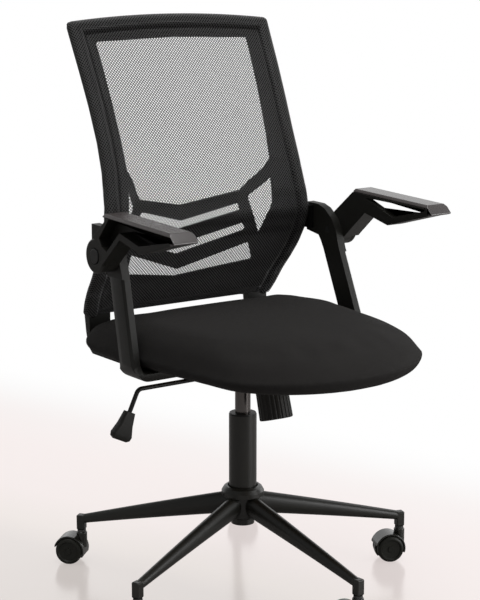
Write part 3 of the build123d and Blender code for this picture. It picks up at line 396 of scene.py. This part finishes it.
weave, w_in, w_out = new_group(
    "plain_weave",
    [("Threads", "Float", 5000.0), ("Colour", "Color", (0.02, 0.02, 0.02, 1)), ("Slub", "Float", 0.3)],
    [("Colour", "Color"), ("Height", "Float")])
place = new_node(weave, "TexCoord").outputs["Object"]
axes = new_node(weave, "SeparateXYZ")
wire(weave, place, axes.inputs[0])
waves = [math_node(weave, "SINE", math_node(weave, "MULTIPLY", axes.outputs[axis], w_in.outputs["Threads"]))
         for axis in "XY"]
over = math_node(weave, "MULTIPLY", waves[0], waves[1])
yarn = noise(weave, place, YARN_SCALE, YARN_DETAIL)
wire(weave, YARN_ROUGH, yarn.inputs["Roughness"])
dye = noise(weave, place, DYE_SCALE, DYE_DETAIL)
mottle = math_node(weave, "ADD", math_node(weave, "MULTIPLY", yarn.outputs["Fac"], w_in.outputs["Slub"]),
                   math_node(weave, "MULTIPLY", dye.outputs["Fac"], DYE_SHARE))
shade = math_node(weave, "ADD", math_node(weave, "MULTIPLY", over, WEAVE_SHARE),
                  math_node(weave, "ADD", mottle, WEAVE_BASE))
wire(weave, tinted(weave, w_in.outputs["Colour"], shade), w_out.inputs["Colour"])
wire(weave, math_node(weave, "ADD", over, math_node(weave, "MULTIPLY", yarn.outputs["Fac"], YARN_HEIGHT)),
     w_out.inputs["Height"])
print("weave group:", len(weave.nodes), "nodes")

# %% [markdown]
# Seat cloth is spun yarn, which scatters light, so it has a high roughness and little specular. The
# net is smooth plastic thread. Each thread shows a small highlight of the lamps, so its
# roughness is lower and its specular level is high. A thin sheen stands for stray fibres.

# %% Cloth finishes
SHEEN_ROUGH = 0.45


def cloth(name, colour, rough, threads, bump, sheen, spec):
    """A woven cloth: weave group, bump and a thin sheen."""
    made, _, surface = with_skin(name, weave, bump, {"Threads": threads, "Colour": (*colour, 1)})
    set_inputs(surface, {"Roughness": rough, "Sheen Weight": sheen, "Sheen Roughness": SHEEN_ROUGH,
                         "Specular IOR Level": spec})
    return made


FINISHES["seat_cloth"] = cloth("seat_cloth", (0.0222, 0.0208, 0.0200), 0.9, threads=5200.0, bump=0.00016,
                               sheen=0.03, spec=0.10)
FINISHES["mesh_cloth"] = cloth("mesh_cloth", (0.009, 0.0083, 0.008), 0.42, threads=9000.0, bump=0.00005,
                               sheen=0.02, spec=1.0)
print("finishes with the cloths:", len(FINISHES))

# %% [markdown]
# ## From bmesh to piece
# A piece is a mesh that rides on one of the chair's bodies, so that it moves with the CAD nodes there.
# It hides the CAD nodes that it stands for and shows one finish. Smooth shading with sharp
# edges by angle suits moulded shapes: broad curves look round and real edges stay crisp.


# %% Pieces
def as_piece(name, bm, body, material, replaces, smooth=35.0):
    """Turn a bmesh into a piece that rides on a body and stands for CAD nodes."""
    mesh = bpy.data.meshes.new(name)
    bm.to_mesh(mesh)
    bm.free()
    piece = bpy.data.objects.new(name, mesh)
    scene.collection.objects.link(piece)
    mesh.materials.append(material)
    mesh.shade_smooth()
    mesh.set_sharp_from_angle(angle=radians(smooth))
    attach(piece, body)
    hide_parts(*replaces)
    return piece


# %% [markdown]
# CAD meshes are loose triangles. Before a copy can be bevelled or remeshed, its doubled corners are
# merged, and triangles that lie in one flat face are joined again.

# %% Clean copies of CAD nodes
WELD = 2e-6             # corners nearer than this are one corner
FLAT_ANGLE = 0.8        # degrees between triangles of one flat face


def clean_copy(node):
    """A bmesh copy of a CAD node, with its corners merged and its flat faces whole again."""
    bm = bmesh.new()
    bm.from_mesh(nodes[node].data)
    bmesh.ops.remove_doubles(bm, verts=bm.verts, dist=WELD)
    bmesh.ops.dissolve_limit(bm, angle_limit=radians(FLAT_ANGLE), verts=bm.verts, edges=bm.edges)
    return bm


slots = {row["node"]: row["material_slot"] for row in frame["record"]["subparts"]}
print("slots:", sorted(set(slots.values())))

# %% [markdown]
# ## The net of the back
# The real net is one piece of knitted mesh. It is pulled over the front of the frame, turned round a
# bead along the frame's edge and fixed behind it. An alpha pattern on a flat panel would look right
# from one distance only, and the exported model would have no holes. So the net is real geometry.
#
# It is made as a tailor would make it: woven flat, cut to size and laid on the frame. A flat
# point has a distance across the back and a distance up along it. The side view of the CAD panel
# says where that is in space, so this step reads the panel's front face and its half width at each
# height. A running average turns its straight stretches into the one long curve of taut cloth.

# %% Profile of the back
EDGE_X = 0.19                           # the panel's sides lie further out, and its openings further in
BEAD_W, BEAD_T = 0.017, 0.020           # bead round the frame, seen from the front and from the side
PANEL_IN, PANEL_OUT = 0.005, 0.0117     # CAD panel: inside the frame's edge, in front of the bead's middle
STEP_UP = 0.001                         # between points of the curve
SOFT_STEPS = 13                         # points that the running average takes
RUN_ON = 0.05                           # the curve is carried on past both ends by this

rows = {}
for vertex in nodes["back_mesh"].data.vertices:
    if abs(vertex.co.x) > EDGE_X:
        y, x = rows.get(round(vertex.co.z, 4), (math.inf, 0.0))
        rows[round(vertex.co.z, 4)] = (min(y, vertex.co.y), max(x, vertex.co.x))
levels = np.array(sorted(rows))
z_ends = np.concatenate(([levels[0] - RUN_ON], levels, [levels[-1] + RUN_ON]))
z_line = np.arange(z_ends[0], z_ends[-1], STEP_UP)


def softened(values):
    """Values at the levels as an evenly stepped, softened curve that runs on at both ends."""
    first = values[0] - (values[1] - values[0]) / (levels[1] - levels[0]) * RUN_ON
    last = values[-1] + (values[-1] - values[-2]) / (levels[-1] - levels[-2]) * RUN_ON
    line = np.interp(z_line, z_ends, np.concatenate(([first], values, [last])))
    half = SOFT_STEPS // 2
    line[half:-half] = np.convolve(line, np.ones(SOFT_STEPS) / SOFT_STEPS, "valid")
    return line


y_line = softened(np.array([rows[z][0] for z in levels]) + PANEL_OUT)
x_line = softened(np.array([rows[z][1] for z in levels]) + PANEL_IN - BEAD_W / 2)
up_line = np.concatenate(([0.0], np.cumsum(np.hypot(np.diff(z_line), np.diff(y_line)))))
print("levels:", len(levels), "widest:", round(2 * float(x_line.max()), 4), "m between the beads' middles")

# %% [markdown]
# The net's outline is the middle of the bead. At the top the bead is crowned, and at the bottom the
# cloth ends in a rolled hem. Three distances tell where a flat point lies: how far it is
# past the side, above the top and below the hem.

# %% Outline of the net
HEM_Z = 0.4865
CROWN = 0.010           # the top bead is this much higher in its middle

top_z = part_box("back_frame")[1].z - BEAD_W / 2
hem_up = np.interp(HEM_Z, z_line, up_line)


def top_up(across):
    """Distance up to the middle of the crowned top bead."""
    share = across / np.interp(top_z - CROWN, z_line, x_line)
    return np.interp(top_z - CROWN * share ** 2, z_line, up_line)


def past_edge(across, up):
    """How far points lie past the bead's middle line: to the side, at the top and at the hem."""
    return np.abs(across) - np.interp(up, up_line, x_line), up - top_up(across), hem_up - up


print("height of the cloth along the back:", round(float(top_up(0.0) - hem_up), 4), "m")

# %% [markdown]
# Inside the bead the frame has a flat band a few millimetres further back, with a groove between
# the two. The cloth follows both. A smooth step and a bell curve give that dip as a depth behind
# the bead's crown.

# %% Band and groove
BAND_DIP = 0.0040       # from the bead's crown down to the flat band
BEAD_FLAT, STEP_W = 0.010, 0.008
GROOVE_DIP, GROOVE_IN, GROOVE_W = 0.0016, 0.0185, 0.003


def dipped(across, up):
    """How far the net lies behind the bead's crown: it dips to the band, deepest in a groove."""
    side, above, _ = past_edge(across, up)
    inside = np.maximum(-np.maximum(side, above), 0.0)
    step = np.clip((inside - BEAD_FLAT) / STEP_W, 0, 1)
    groove = np.exp(-((inside - GROOVE_IN) / GROOVE_W) ** 2)
    return BAND_DIP * step ** 2 * (3 - 2 * step) + GROOVE_DIP * groove


print("dip at the groove:", round(float(dipped(np.array([0.0]), top_up(np.array([0.0])) - GROOVE_IN)[0]), 4))

# %% [markdown]
# Past the outline the cloth turns. Its distance past the edge becomes an angle round the bead, up
# to half a turn, and what is left runs straight back in behind. Round the hem the same
# is done with a small radius. The turn is blended between the two at the lower corners, by
# the direction in which a point lies past the edge.

# %% Round the bead
CLEAR = 0.0012          # cloth in front of the bead
HEM = 0.0045            # radius of the rolled hem


def back_at(up):
    """Middle of the bead at a distance up the back, and the back's lean and rise there."""
    lean = np.interp(up, up_line, np.gradient(y_line, up_line))
    return np.interp(up, up_line, y_line), np.interp(up, up_line, z_line), lean, np.sqrt(1 - lean ** 2)


def turned(out, share, lift, rise):
    """How far points go outward and forward, as the cloth turns round the bead or the hem."""
    at_hem = share * share * (share < 0)
    front = BEAD_T / 2 * rise + CLEAR
    deep = front * (1 - at_hem) + HEM * at_hem
    wide = (BEAD_W / 2 + CLEAR) * (1 - at_hem) + HEM * at_hem
    reach = (deep + wide) / 2
    angle = np.minimum(out / reach, np.pi)
    run = np.maximum(out - np.pi * reach, 0.0)
    return (wide + lift) * np.sin(angle) - run, (deep + lift) * np.cos(angle) + (front - deep)


def laid(across, up, lift):
    """Places on the back of flat net points; lift is towards the sitter."""
    lift = lift - dipped(across, up)
    side, above, below = (np.maximum(part, 0.0) for part in past_edge(across, up))
    along = above - below
    out = np.hypot(side, along)
    share = np.where(out > 0, along / np.maximum(out, 1e-9), 0.0)
    y, z, lean, rise = back_at(up - along)
    outward, forward = turned(out, share, lift, rise)
    sideways = np.sign(across) * np.sqrt(1 - share ** 2) * (out > 0) * outward
    upward = outward * share
    return np.stack((across - np.sign(across) * side + sideways,
                     y + upward * lean - forward * rise,
                     z + upward * rise + forward * lean), axis=1)


# %% [markdown]
# Weaving takes two operators. A grid of square cells is made at 45 degrees, as the threads of this
# net are. Every cell is inset, and its middle is taken out. What stays is a thread on each side
# of every cell. The inset sinks the edges of the hole a little, so that a thread has a crown. Then
# the flat net is laid on the back, point by point.

# %% Weaving the net
PITCH = 0.0041          # from hole to hole along a thread
THREAD = 0.0015         # width of a thread
THREAD_DEEP = 0.0008    # a thread's crown above the edges of its holes
TURN = 0.029            # cloth past the middle of the bead


def flat_net(wide, tall):
    """A flat net of cells at 45 degrees, cut along the outline with the turn; and its threads' area."""
    bm = bmesh.new()
    cells = int((tall + wide) / math.sqrt(2) / PITCH) + 2
    middle_up = float(top_up(0.0) + hem_up) / 2
    middle = Matrix.Translation((0, middle_up, 0)) @ Matrix.Rotation(radians(45), 4, "Z")
    bmesh.ops.create_grid(bm, x_segments=cells, y_segments=cells, size=cells * PITCH / 2, matrix=middle)
    centres = np.array([face.calc_center_median() for face in bm.faces])
    side, above, below = (np.maximum(part, 0) for part in past_edge(centres[:, 0], centres[:, 1]))
    outside = np.hypot(side, above + below) > TURN
    bm.faces.ensure_lookup_table()
    bmesh.ops.delete(bm, geom=[bm.faces[i] for i in np.nonzero(outside)[0]], context="FACES")
    holes = bm.faces[:]
    bmesh.ops.inset_individual(bm, faces=holes, thickness=THREAD / 2, depth=-THREAD_DEEP,
                               use_even_offset=True)
    area = len(holes) * (PITCH ** 2 - (PITCH - THREAD) ** 2)
    bmesh.ops.delete(bm, geom=holes, context="FACES_ONLY")
    return bm, area


net_wide = 2 * float(x_line.max() + TURN)
net_tall = float(top_up(0.0) - hem_up) + 2 * TURN
bm, thread_area = flat_net(net_wide, net_tall)
flat = np.array([vertex.co for vertex in bm.verts])
for vertex, spot in zip(bm.verts, laid(flat[:, 0], flat[:, 1], flat[:, 2])):
    vertex.co = spot
net = as_piece("back_net", bm, "seat", FINISHES["mesh_cloth"], ["back_mesh"], smooth=60.0)
print("net:", len(net.data.polygons), "faces, threads cover", round(thread_area / net_wide / net_tall, 3))

# %% [markdown]
# ## The seat cushion
# The cushion is foam under a stretched cloth, on a plywood board. The CAD solid gives its outline
# and its roll at the edges, in flat facets. Foam under cloth is never faceted: it swells between the
# places where it is held. The cushion is made from a copy of the solid in four steps. The copy
# gets an even skin, a cloth simulation blows it up, smoothing evens it out, and a crown and a sag
# give it the shape of a cushion that has been sat on.
#
# A simulation needs faces of one size. The Remesh modifier gives them, and its result becomes
# the piece's own mesh. Everything above the board then shrinks a little, to leave room to swell.

# %% An even skin
CUSHION_GRID = 0.0055
HELD_UP = 0.004         # the skin is held by the board up to this height above it
HELD_FADE = 0.012       # and is quite free this much higher
SHRINK = 0.003


def apply_modifiers(piece):
    """Turn what a piece looks like with its modifiers into its own mesh."""
    done = bpy.data.meshes.new_from_object(piece.evaluated_get(bpy.context.evaluated_depsgraph_get()))
    piece.modifiers.clear()
    piece.data = done


def read(items, name):
    """A vector of every vertex or normal of a mesh, one to a row."""
    values = np.empty(len(items) * 3)
    items.foreach_get(name, values)
    return values.reshape(-1, 3)


low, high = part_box("seat_cushion")
held_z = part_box("seat_board")[1].z + HELD_UP
bm = clean_copy("seat_cushion")
bmesh.ops.recalc_face_normals(bm, faces=bm.faces)
cushion = as_piece("cushion", bm, "seat", FINISHES["seat_cloth"], ["seat_cushion"],
                   smooth=180.0)
even = cushion.modifiers.new("even grid", "REMESH")
even.mode = "VOXEL"
even.voxel_size = CUSHION_GRID
apply_modifiers(cushion)
points = read(cushion.data.vertices, "co")
free = np.clip((points[:, 2] - held_z) / HELD_FADE, 0, 1)
start = points - read(cushion.data.vertex_normals, "vector") * (SHRINK * free)[:, None]
cushion.data.vertices.foreach_set("co", start.ravel())
print("skin:", len(cushion.data.polygons), "faces")

# %% [markdown]
# Blender's Cloth modifier with pressure and no gravity blows the skin up like a balloon. The points
# near the board are held. Twenty frames are enough, and no point may end further from its start
# than real foam would push it.

# %% Foam under the cloth
SWELL = 0.0055
BLOW_FRAMES = 20


def blow_up(piece):
    """Cloth simulation with pressure inside and the skin held at the board."""
    held = piece.vertex_groups.new(name="held")
    for index in np.nonzero(free < 1)[0]:
        held.add([int(index)], 1.0 - float(free[index]), "REPLACE")
    foam = piece.modifiers.new("foam", "CLOTH")
    foam.settings.quality = 5
    foam.settings.mass = 0.3
    foam.settings.tension_stiffness = 30
    foam.settings.compression_stiffness = 30
    foam.settings.shear_stiffness = 8
    foam.settings.bending_stiffness = 2
    foam.settings.use_pressure = True
    foam.settings.uniform_pressure_force = 4
    foam.settings.vertex_group_mass = "held"
    foam.settings.effector_weights.gravity = 0
    foam.collision_settings.use_collision = False
    foam.point_cache.frame_start = 1
    foam.point_cache.frame_end = BLOW_FRAMES
    for frame_number in range(1, BLOW_FRAMES + 1):
        scene.frame_set(frame_number)
    apply_modifiers(piece)
    scene.frame_set(1)


blow_up(cushion)
moved = read(cushion.data.vertices, "co") - start
far = np.linalg.norm(moved, axis=1)
moved *= (np.minimum(far, SWELL) / np.maximum(far, 1e-9))[:, None]
cushion.data.vertices.foreach_set("co", (start + moved).ravel())
print("swelled by", round(float(far.max()) * 1000, 1), "mm at most, kept to", SWELL * 1000)

# %% [markdown]
# Upholsterers put a layer of wadding between foam and cloth, which evens out every step. Smoothing
# does the same here, for all points but those at the board. It also draws the outline in a little,
# so the cushion is stretched to the CAD outline again.

# %% Wadding
WADDING_PASSES = 22
WADDING_UP = 0.006      # above the held skin

bm = bmesh.new()
bm.from_mesh(cushion.data)
loose = [vertex for vertex in bm.verts if vertex.co.z > held_z + WADDING_UP]
for _ in range(WADDING_PASSES):
    bmesh.ops.smooth_vert(bm, verts=loose, factor=0.5, use_axis_x=True, use_axis_y=True, use_axis_z=True)
middle = (low + high) / 2
for axis in (0, 1):
    spread = [vertex.co[axis] for vertex in bm.verts]
    grown = (high[axis] - low[axis]) / (max(spread) - min(spread))
    print("stretched by", round(grown, 4))
    for vertex in bm.verts:
        vertex.co[axis] = middle[axis] + (vertex.co[axis] - middle[axis]) * grown

# %% [markdown]
# The foam is thickest near the front, where thighs rest, and thin towards the back. So the crown is
# a product of soft steps: it grows with the height above the board, from the rear to the middle,
# and away from the very front. It is a little less at the sides.

# %% Crown
CROWN_UP, FRONT_UP = 0.0070, 0.0015     # crown, and what the front adds to it
CROWN_LEVELS = (0.010, 0.040)           # above the held skin
CROWN_REAR = (-0.165, -0.03)            # forward of the column
CROWN_NOSE = (-0.345, -0.27)            # places along Y
CROWN_FRONT = (0.10, 0.24)              # forward of the column
SIDE_LOSS, HALF_SEAT = 0.2, 0.2         # share of the crown lost at this distance from the middle


def eased(value, start, end):
    """0 before start, 1 past end, and a soft step between."""
    share = min(max((value - start) / (end - start), 0.0), 1.0)
    return share * share * (3 - 2 * share)


def crowned(place):
    """How far the foam stands up from its flat top."""
    up = eased(place.z - held_z, *CROWN_LEVELS)
    along = eased(-place.y, *CROWN_REAR) * eased(place.y, *CROWN_NOSE)
    full = CROWN_UP + FRONT_UP * eased(-place.y, *CROWN_FRONT)
    return up * along * full * (1.0 - SIDE_LOSS * (place.x / HALF_SEAT) ** 2)


crowns = [crowned(vertex.co) for vertex in bm.verts]
print("crown:", round(max(crowns) * 1000, 1), "mm")

# %% [markdown]
# Round the rim the cloth hangs down a little between the points where it is stapled, except over the
# feet of the arms, which press it up.

# %% Sag
SAG = 0.0030
RIM_REAR_Y = -0.2                       # forward of this the rim is the curved front
SIDE_RIM = (0.205, 0.225)               # distance from the middle
FRONT_RIM, FRONT_SAG = (0.22, 0.30), 0.6    # forward of the column, and the share of the sag there
FOOT_Y, FOOT_SPAN = -0.02, (0.05, 0.08)     # middle of the arms' feet, and where their hold ends
SAG_LEVELS = (0.004, 0.030)             # above the cushion's underside


def sagged(place):
    """How far the cloth hangs down round the rim, away from the arms' feet."""
    if place.y > RIM_REAR_Y:
        rim = eased(abs(place.x), *SIDE_RIM)
    else:
        rim = eased(-place.y, *FRONT_RIM) * FRONT_SAG
    off_foot = eased(abs(place.y - FOOT_Y), *FOOT_SPAN)
    return SAG * rim * off_foot * (1.0 - eased(place.z - low.z, *SAG_LEVELS))


sags = [sagged(vertex.co) for vertex in bm.verts]
for vertex, rise, drop in zip(bm.verts, crowns, sags):
    vertex.co.z += rise - drop
print("sag:", round(max(sags) * 1000, 1), "mm")

# %% [markdown]
# One level of subdivision rounds off what is left of the grid.

# %% The finished cushion
mesh = cushion.data
bm.to_mesh(mesh)
bm.free()
mesh.shade_smooth()
fine = cushion.modifiers.new("fine", "SUBSURF")
fine.levels = fine.render_levels = 1
print("cushion:", len(mesh.polygons), "faces before subdivision")

# %% [markdown]
# ## Moulded shells
# The arms, the frame and the knobs are moulded plastic. Their CAD edges are knife sharp, and no
# moulded part has such edges. A Bevel modifier would find no shared edges between the loose
# triangles of a CAD mesh, so a clean copy is bevelled at its sharp edges. The narrow round
# catches thin highlights, and these tell the eye how thick a part is. Weighted normals keep
# the large faces flat beside it.

# %% Rounded shells
SHARP_ANGLE = 30.0      # degrees; softer edges are left as they are
EDGES = {               # node: width of the round at its edges, body
    "back_frame": (0.0010, "seat"),
    "arm_upright_right": (0.0020, "seat"),
    "arm_upright_left": (0.0020, "seat"),
    "armrest_loop_right": (0.0016, "arm_right"),
    "armrest_loop_left": (0.0016, "arm_left"),
    "armrest_pad_right": (0.0014, "arm_right"),
    "armrest_pad_left": (0.0014, "arm_left"),
    "pivot_cap_right": (0.0015, "arm_right"),
    "pivot_cap_left": (0.0015, "arm_left"),
    "lever_grip": (0.0012, "lever"),
    "tension_knob": (0.0006, "tension_control"),
}


def rounded_shell(node, width, body):
    """A copy of a CAD node with its sharp edges rounded; it stands for the node."""
    bm = clean_copy(node)
    sharp = [edge for edge in bm.edges
             if edge.is_manifold and edge.calc_face_angle(0.0) > radians(SHARP_ANGLE)]
    bmesh.ops.bevel(bm, geom=sharp, offset=width, offset_type="OFFSET", segments=2, profile=0.5,
                    affect="EDGES", clamp_overlap=True, material=-1)
    shell = as_piece(node + "_shell", bm, body, FINISHES[slots[node]], [node])
    keep = shell.modifiers.new("flat faces stay flat", "WEIGHTED_NORMAL")
    keep.keep_sharp = True
    return shell


shells = {node: rounded_shell(node, *values) for node, values in EDGES.items()}
for node, shell in shells.items():
    print(shell.name, len(shell.data.polygons), "faces")

# %% [markdown]
# Where the frame lies under the net, light has to pass the threads twice, and what comes back is a
# dull black. That shade is painted: the frame's front faces get a darker, rougher copy of its plastic
# than its bare rear and legs.

# %% Painted shade on the frame under the net
REAR_FACING = 0.2       # faces that look back at least this much are bare
BARE_UNDER_HEM = 0.01   # and so is the frame from this far below the hem

net_shaded_frame = shells["back_frame"].data
net_shaded_frame.materials.append(PAINTED_NET_SHADE)
# Faces under the net take the painted shade; the bare rear and legs keep the plain plastic.
for face in net_shaded_frame.polygons:
    bare = face.normal.y > REAR_FACING or face.center.z < HEM_Z - BARE_UNDER_HEM
    face.material_index = 0 if bare else 1
print("faces under the net:", sum(face.material_index for face in net_shaded_frame.polygons))

# %% [markdown]
# ## Finishes of the CAD nodes
# The base, the column, the mechanism and the casters are round or pressed parts whose CAD shapes are
# right as they are. They keep their meshes and only get the finish of their slot.

# %% Give every CAD node its finish
for name, node in nodes.items():
    node.data.materials.clear()
    node.data.materials.append(FINISHES[slots[name]])
    node.data.shade_smooth()
print("nodes with a finish:", len(nodes))

# %% [markdown]
# ## Floor
# The floor is a satin board, and its look for the eye is painted light: a glow that is warm grey near
# the camera and white far behind the chair, where it runs into the background. The eye and the chair
# see different floors. To the chair it is a plain pale grey, so that it doesn't light the parts from
# below. To the eye it is mostly that painted glow, with a fifth of lit surface under it, which keeps
# the shadow, and a soft gloss over it, which mirrors the casters.

# %% A disc for a floor
FLOOR_R = 12.0
FLOOR_GREY = (0.42, 0.40, 0.39, 1)      # what the chair gets back from the floor

bm = bmesh.new()
bmesh.ops.create_circle(bm, cap_ends=True, radius=FLOOR_R, segments=96)
mesh = bpy.data.meshes.new("floor")
bm.to_mesh(mesh)
bm.free()
floor = bpy.data.objects.new("floor", mesh)
scene.collection.objects.link(floor)
board = bpy.data.materials.new("pale_floor")
board.use_nodes = True
mesh.materials.append(board)
tree = board.node_tree
plain = tree.nodes["Principled BSDF"]
set_inputs(plain, {"Base Color": FLOOR_GREY, "Roughness": 0.5})
print("floor radius:", FLOOR_R, "m")

# %% [markdown]
# The painted light of the floor, from warm grey to white, is a colour ramp over the place on the
# floor. It runs away from the camera, mostly along X.

# %% Painted light of the floor
AWAY_X, AWAY_Y = 0.95, 0.30
# Painted light: the colours the floor glows with, from warm grey near the camera to white far behind.
PAINTED_FLOOR_LIGHT = [(-0.35, (0.745, 0.69, 0.655)), (-0.1, (0.81, 0.75, 0.72)), (0.0, (0.90, 0.83, 0.79)),
          (0.15, (0.97, 0.88, 0.86)), (0.4, (0.99, 0.90, 0.885)), (0.65, (1.0, 0.95, 0.94)), (0.9, (1, 1, 1))]

where = new_node(tree, "SeparateXYZ")
wire(tree, new_node(tree, "TexCoord").outputs["Object"], where.inputs[0])
away = math_node(tree, "ADD", math_node(tree, "MULTIPLY", where.outputs["X"], AWAY_X),
                 math_node(tree, "MULTIPLY", where.outputs["Y"], AWAY_Y))
near, far = PAINTED_FLOOR_LIGHT[0][0], PAINTED_FLOOR_LIGHT[-1][0]
ramp = new_node(tree, "ValToRGB")
wire(tree, math_node(tree, "DIVIDE", math_node(tree, "SUBTRACT", away, near), far - near), ramp.inputs[0])
stops = ramp.color_ramp.elements
for i, (reach, colour) in enumerate(PAINTED_FLOOR_LIGHT):
    at = (reach - near) / (far - near)
    stop = stops[i] if i < 2 else stops.new(at)
    stop.position = at
    stop.color = (*colour, 1)
print("shades:", len(stops))

# %% [markdown]
# The layers are stacked with Mix Shader nodes, from the lit board up to the switch between the
# two floors.

# %% Layers of the floor
LIT_COLOUR = (0.86, 0.79, 0.775, 1)
# Share of the floor that is painted light for the eye; the rest is lit, so a soft shadow stays in it.
FLOOR_GLOW_SHARE = 0.8         # the rest is lit, so a soft shadow stays in the white
GLOSS_SHARE, GLOSS_ROUGH = 0.2, 0.19
FADE_FROM, FADE_TO = 0.55, 0.95


def layered(share, under, over):
    """A layer over another, at a share that is a number or another node's output."""
    mix = new_node(tree, "MixShader")
    wire(tree, share, mix.inputs[0])
    wire(tree, under.outputs[0], mix.inputs[1])
    wire(tree, over.outputs[0], mix.inputs[2])
    return mix


lit = new_node(tree, "BsdfDiffuse")
set_inputs(lit, {"Color": LIT_COLOUR})
# The floor's glow is painted light, in the colours of the ramp.
floor_glow = new_node(tree, "Emission")
wire(tree, ramp.outputs["Color"], floor_glow.inputs["Color"])
gloss = new_node(tree, "BsdfPrincipled")
set_inputs(gloss, {"Base Color": (1, 1, 1, 1), "Metallic": 1.0, "Roughness": GLOSS_ROUGH})
fade = new_node(tree, "MapRange", interpolation_type="SMOOTHSTEP")
set_inputs(fade, {"From Min": FADE_FROM, "From Max": FADE_TO})
wire(tree, away, fade.inputs["Value"])
satin = layered(GLOSS_SHARE, layered(FLOOR_GLOW_SHARE, lit, floor_glow), gloss)
to_white = layered(fade.outputs["Result"], satin, new_node(tree, "Emission"))
seen = layered(seen_by(tree, "Camera"), plain, to_white)
wire(tree, seen.outputs[0], tree.nodes["Material Output"].inputs["Surface"])
print("floor nodes:", len(tree.nodes))
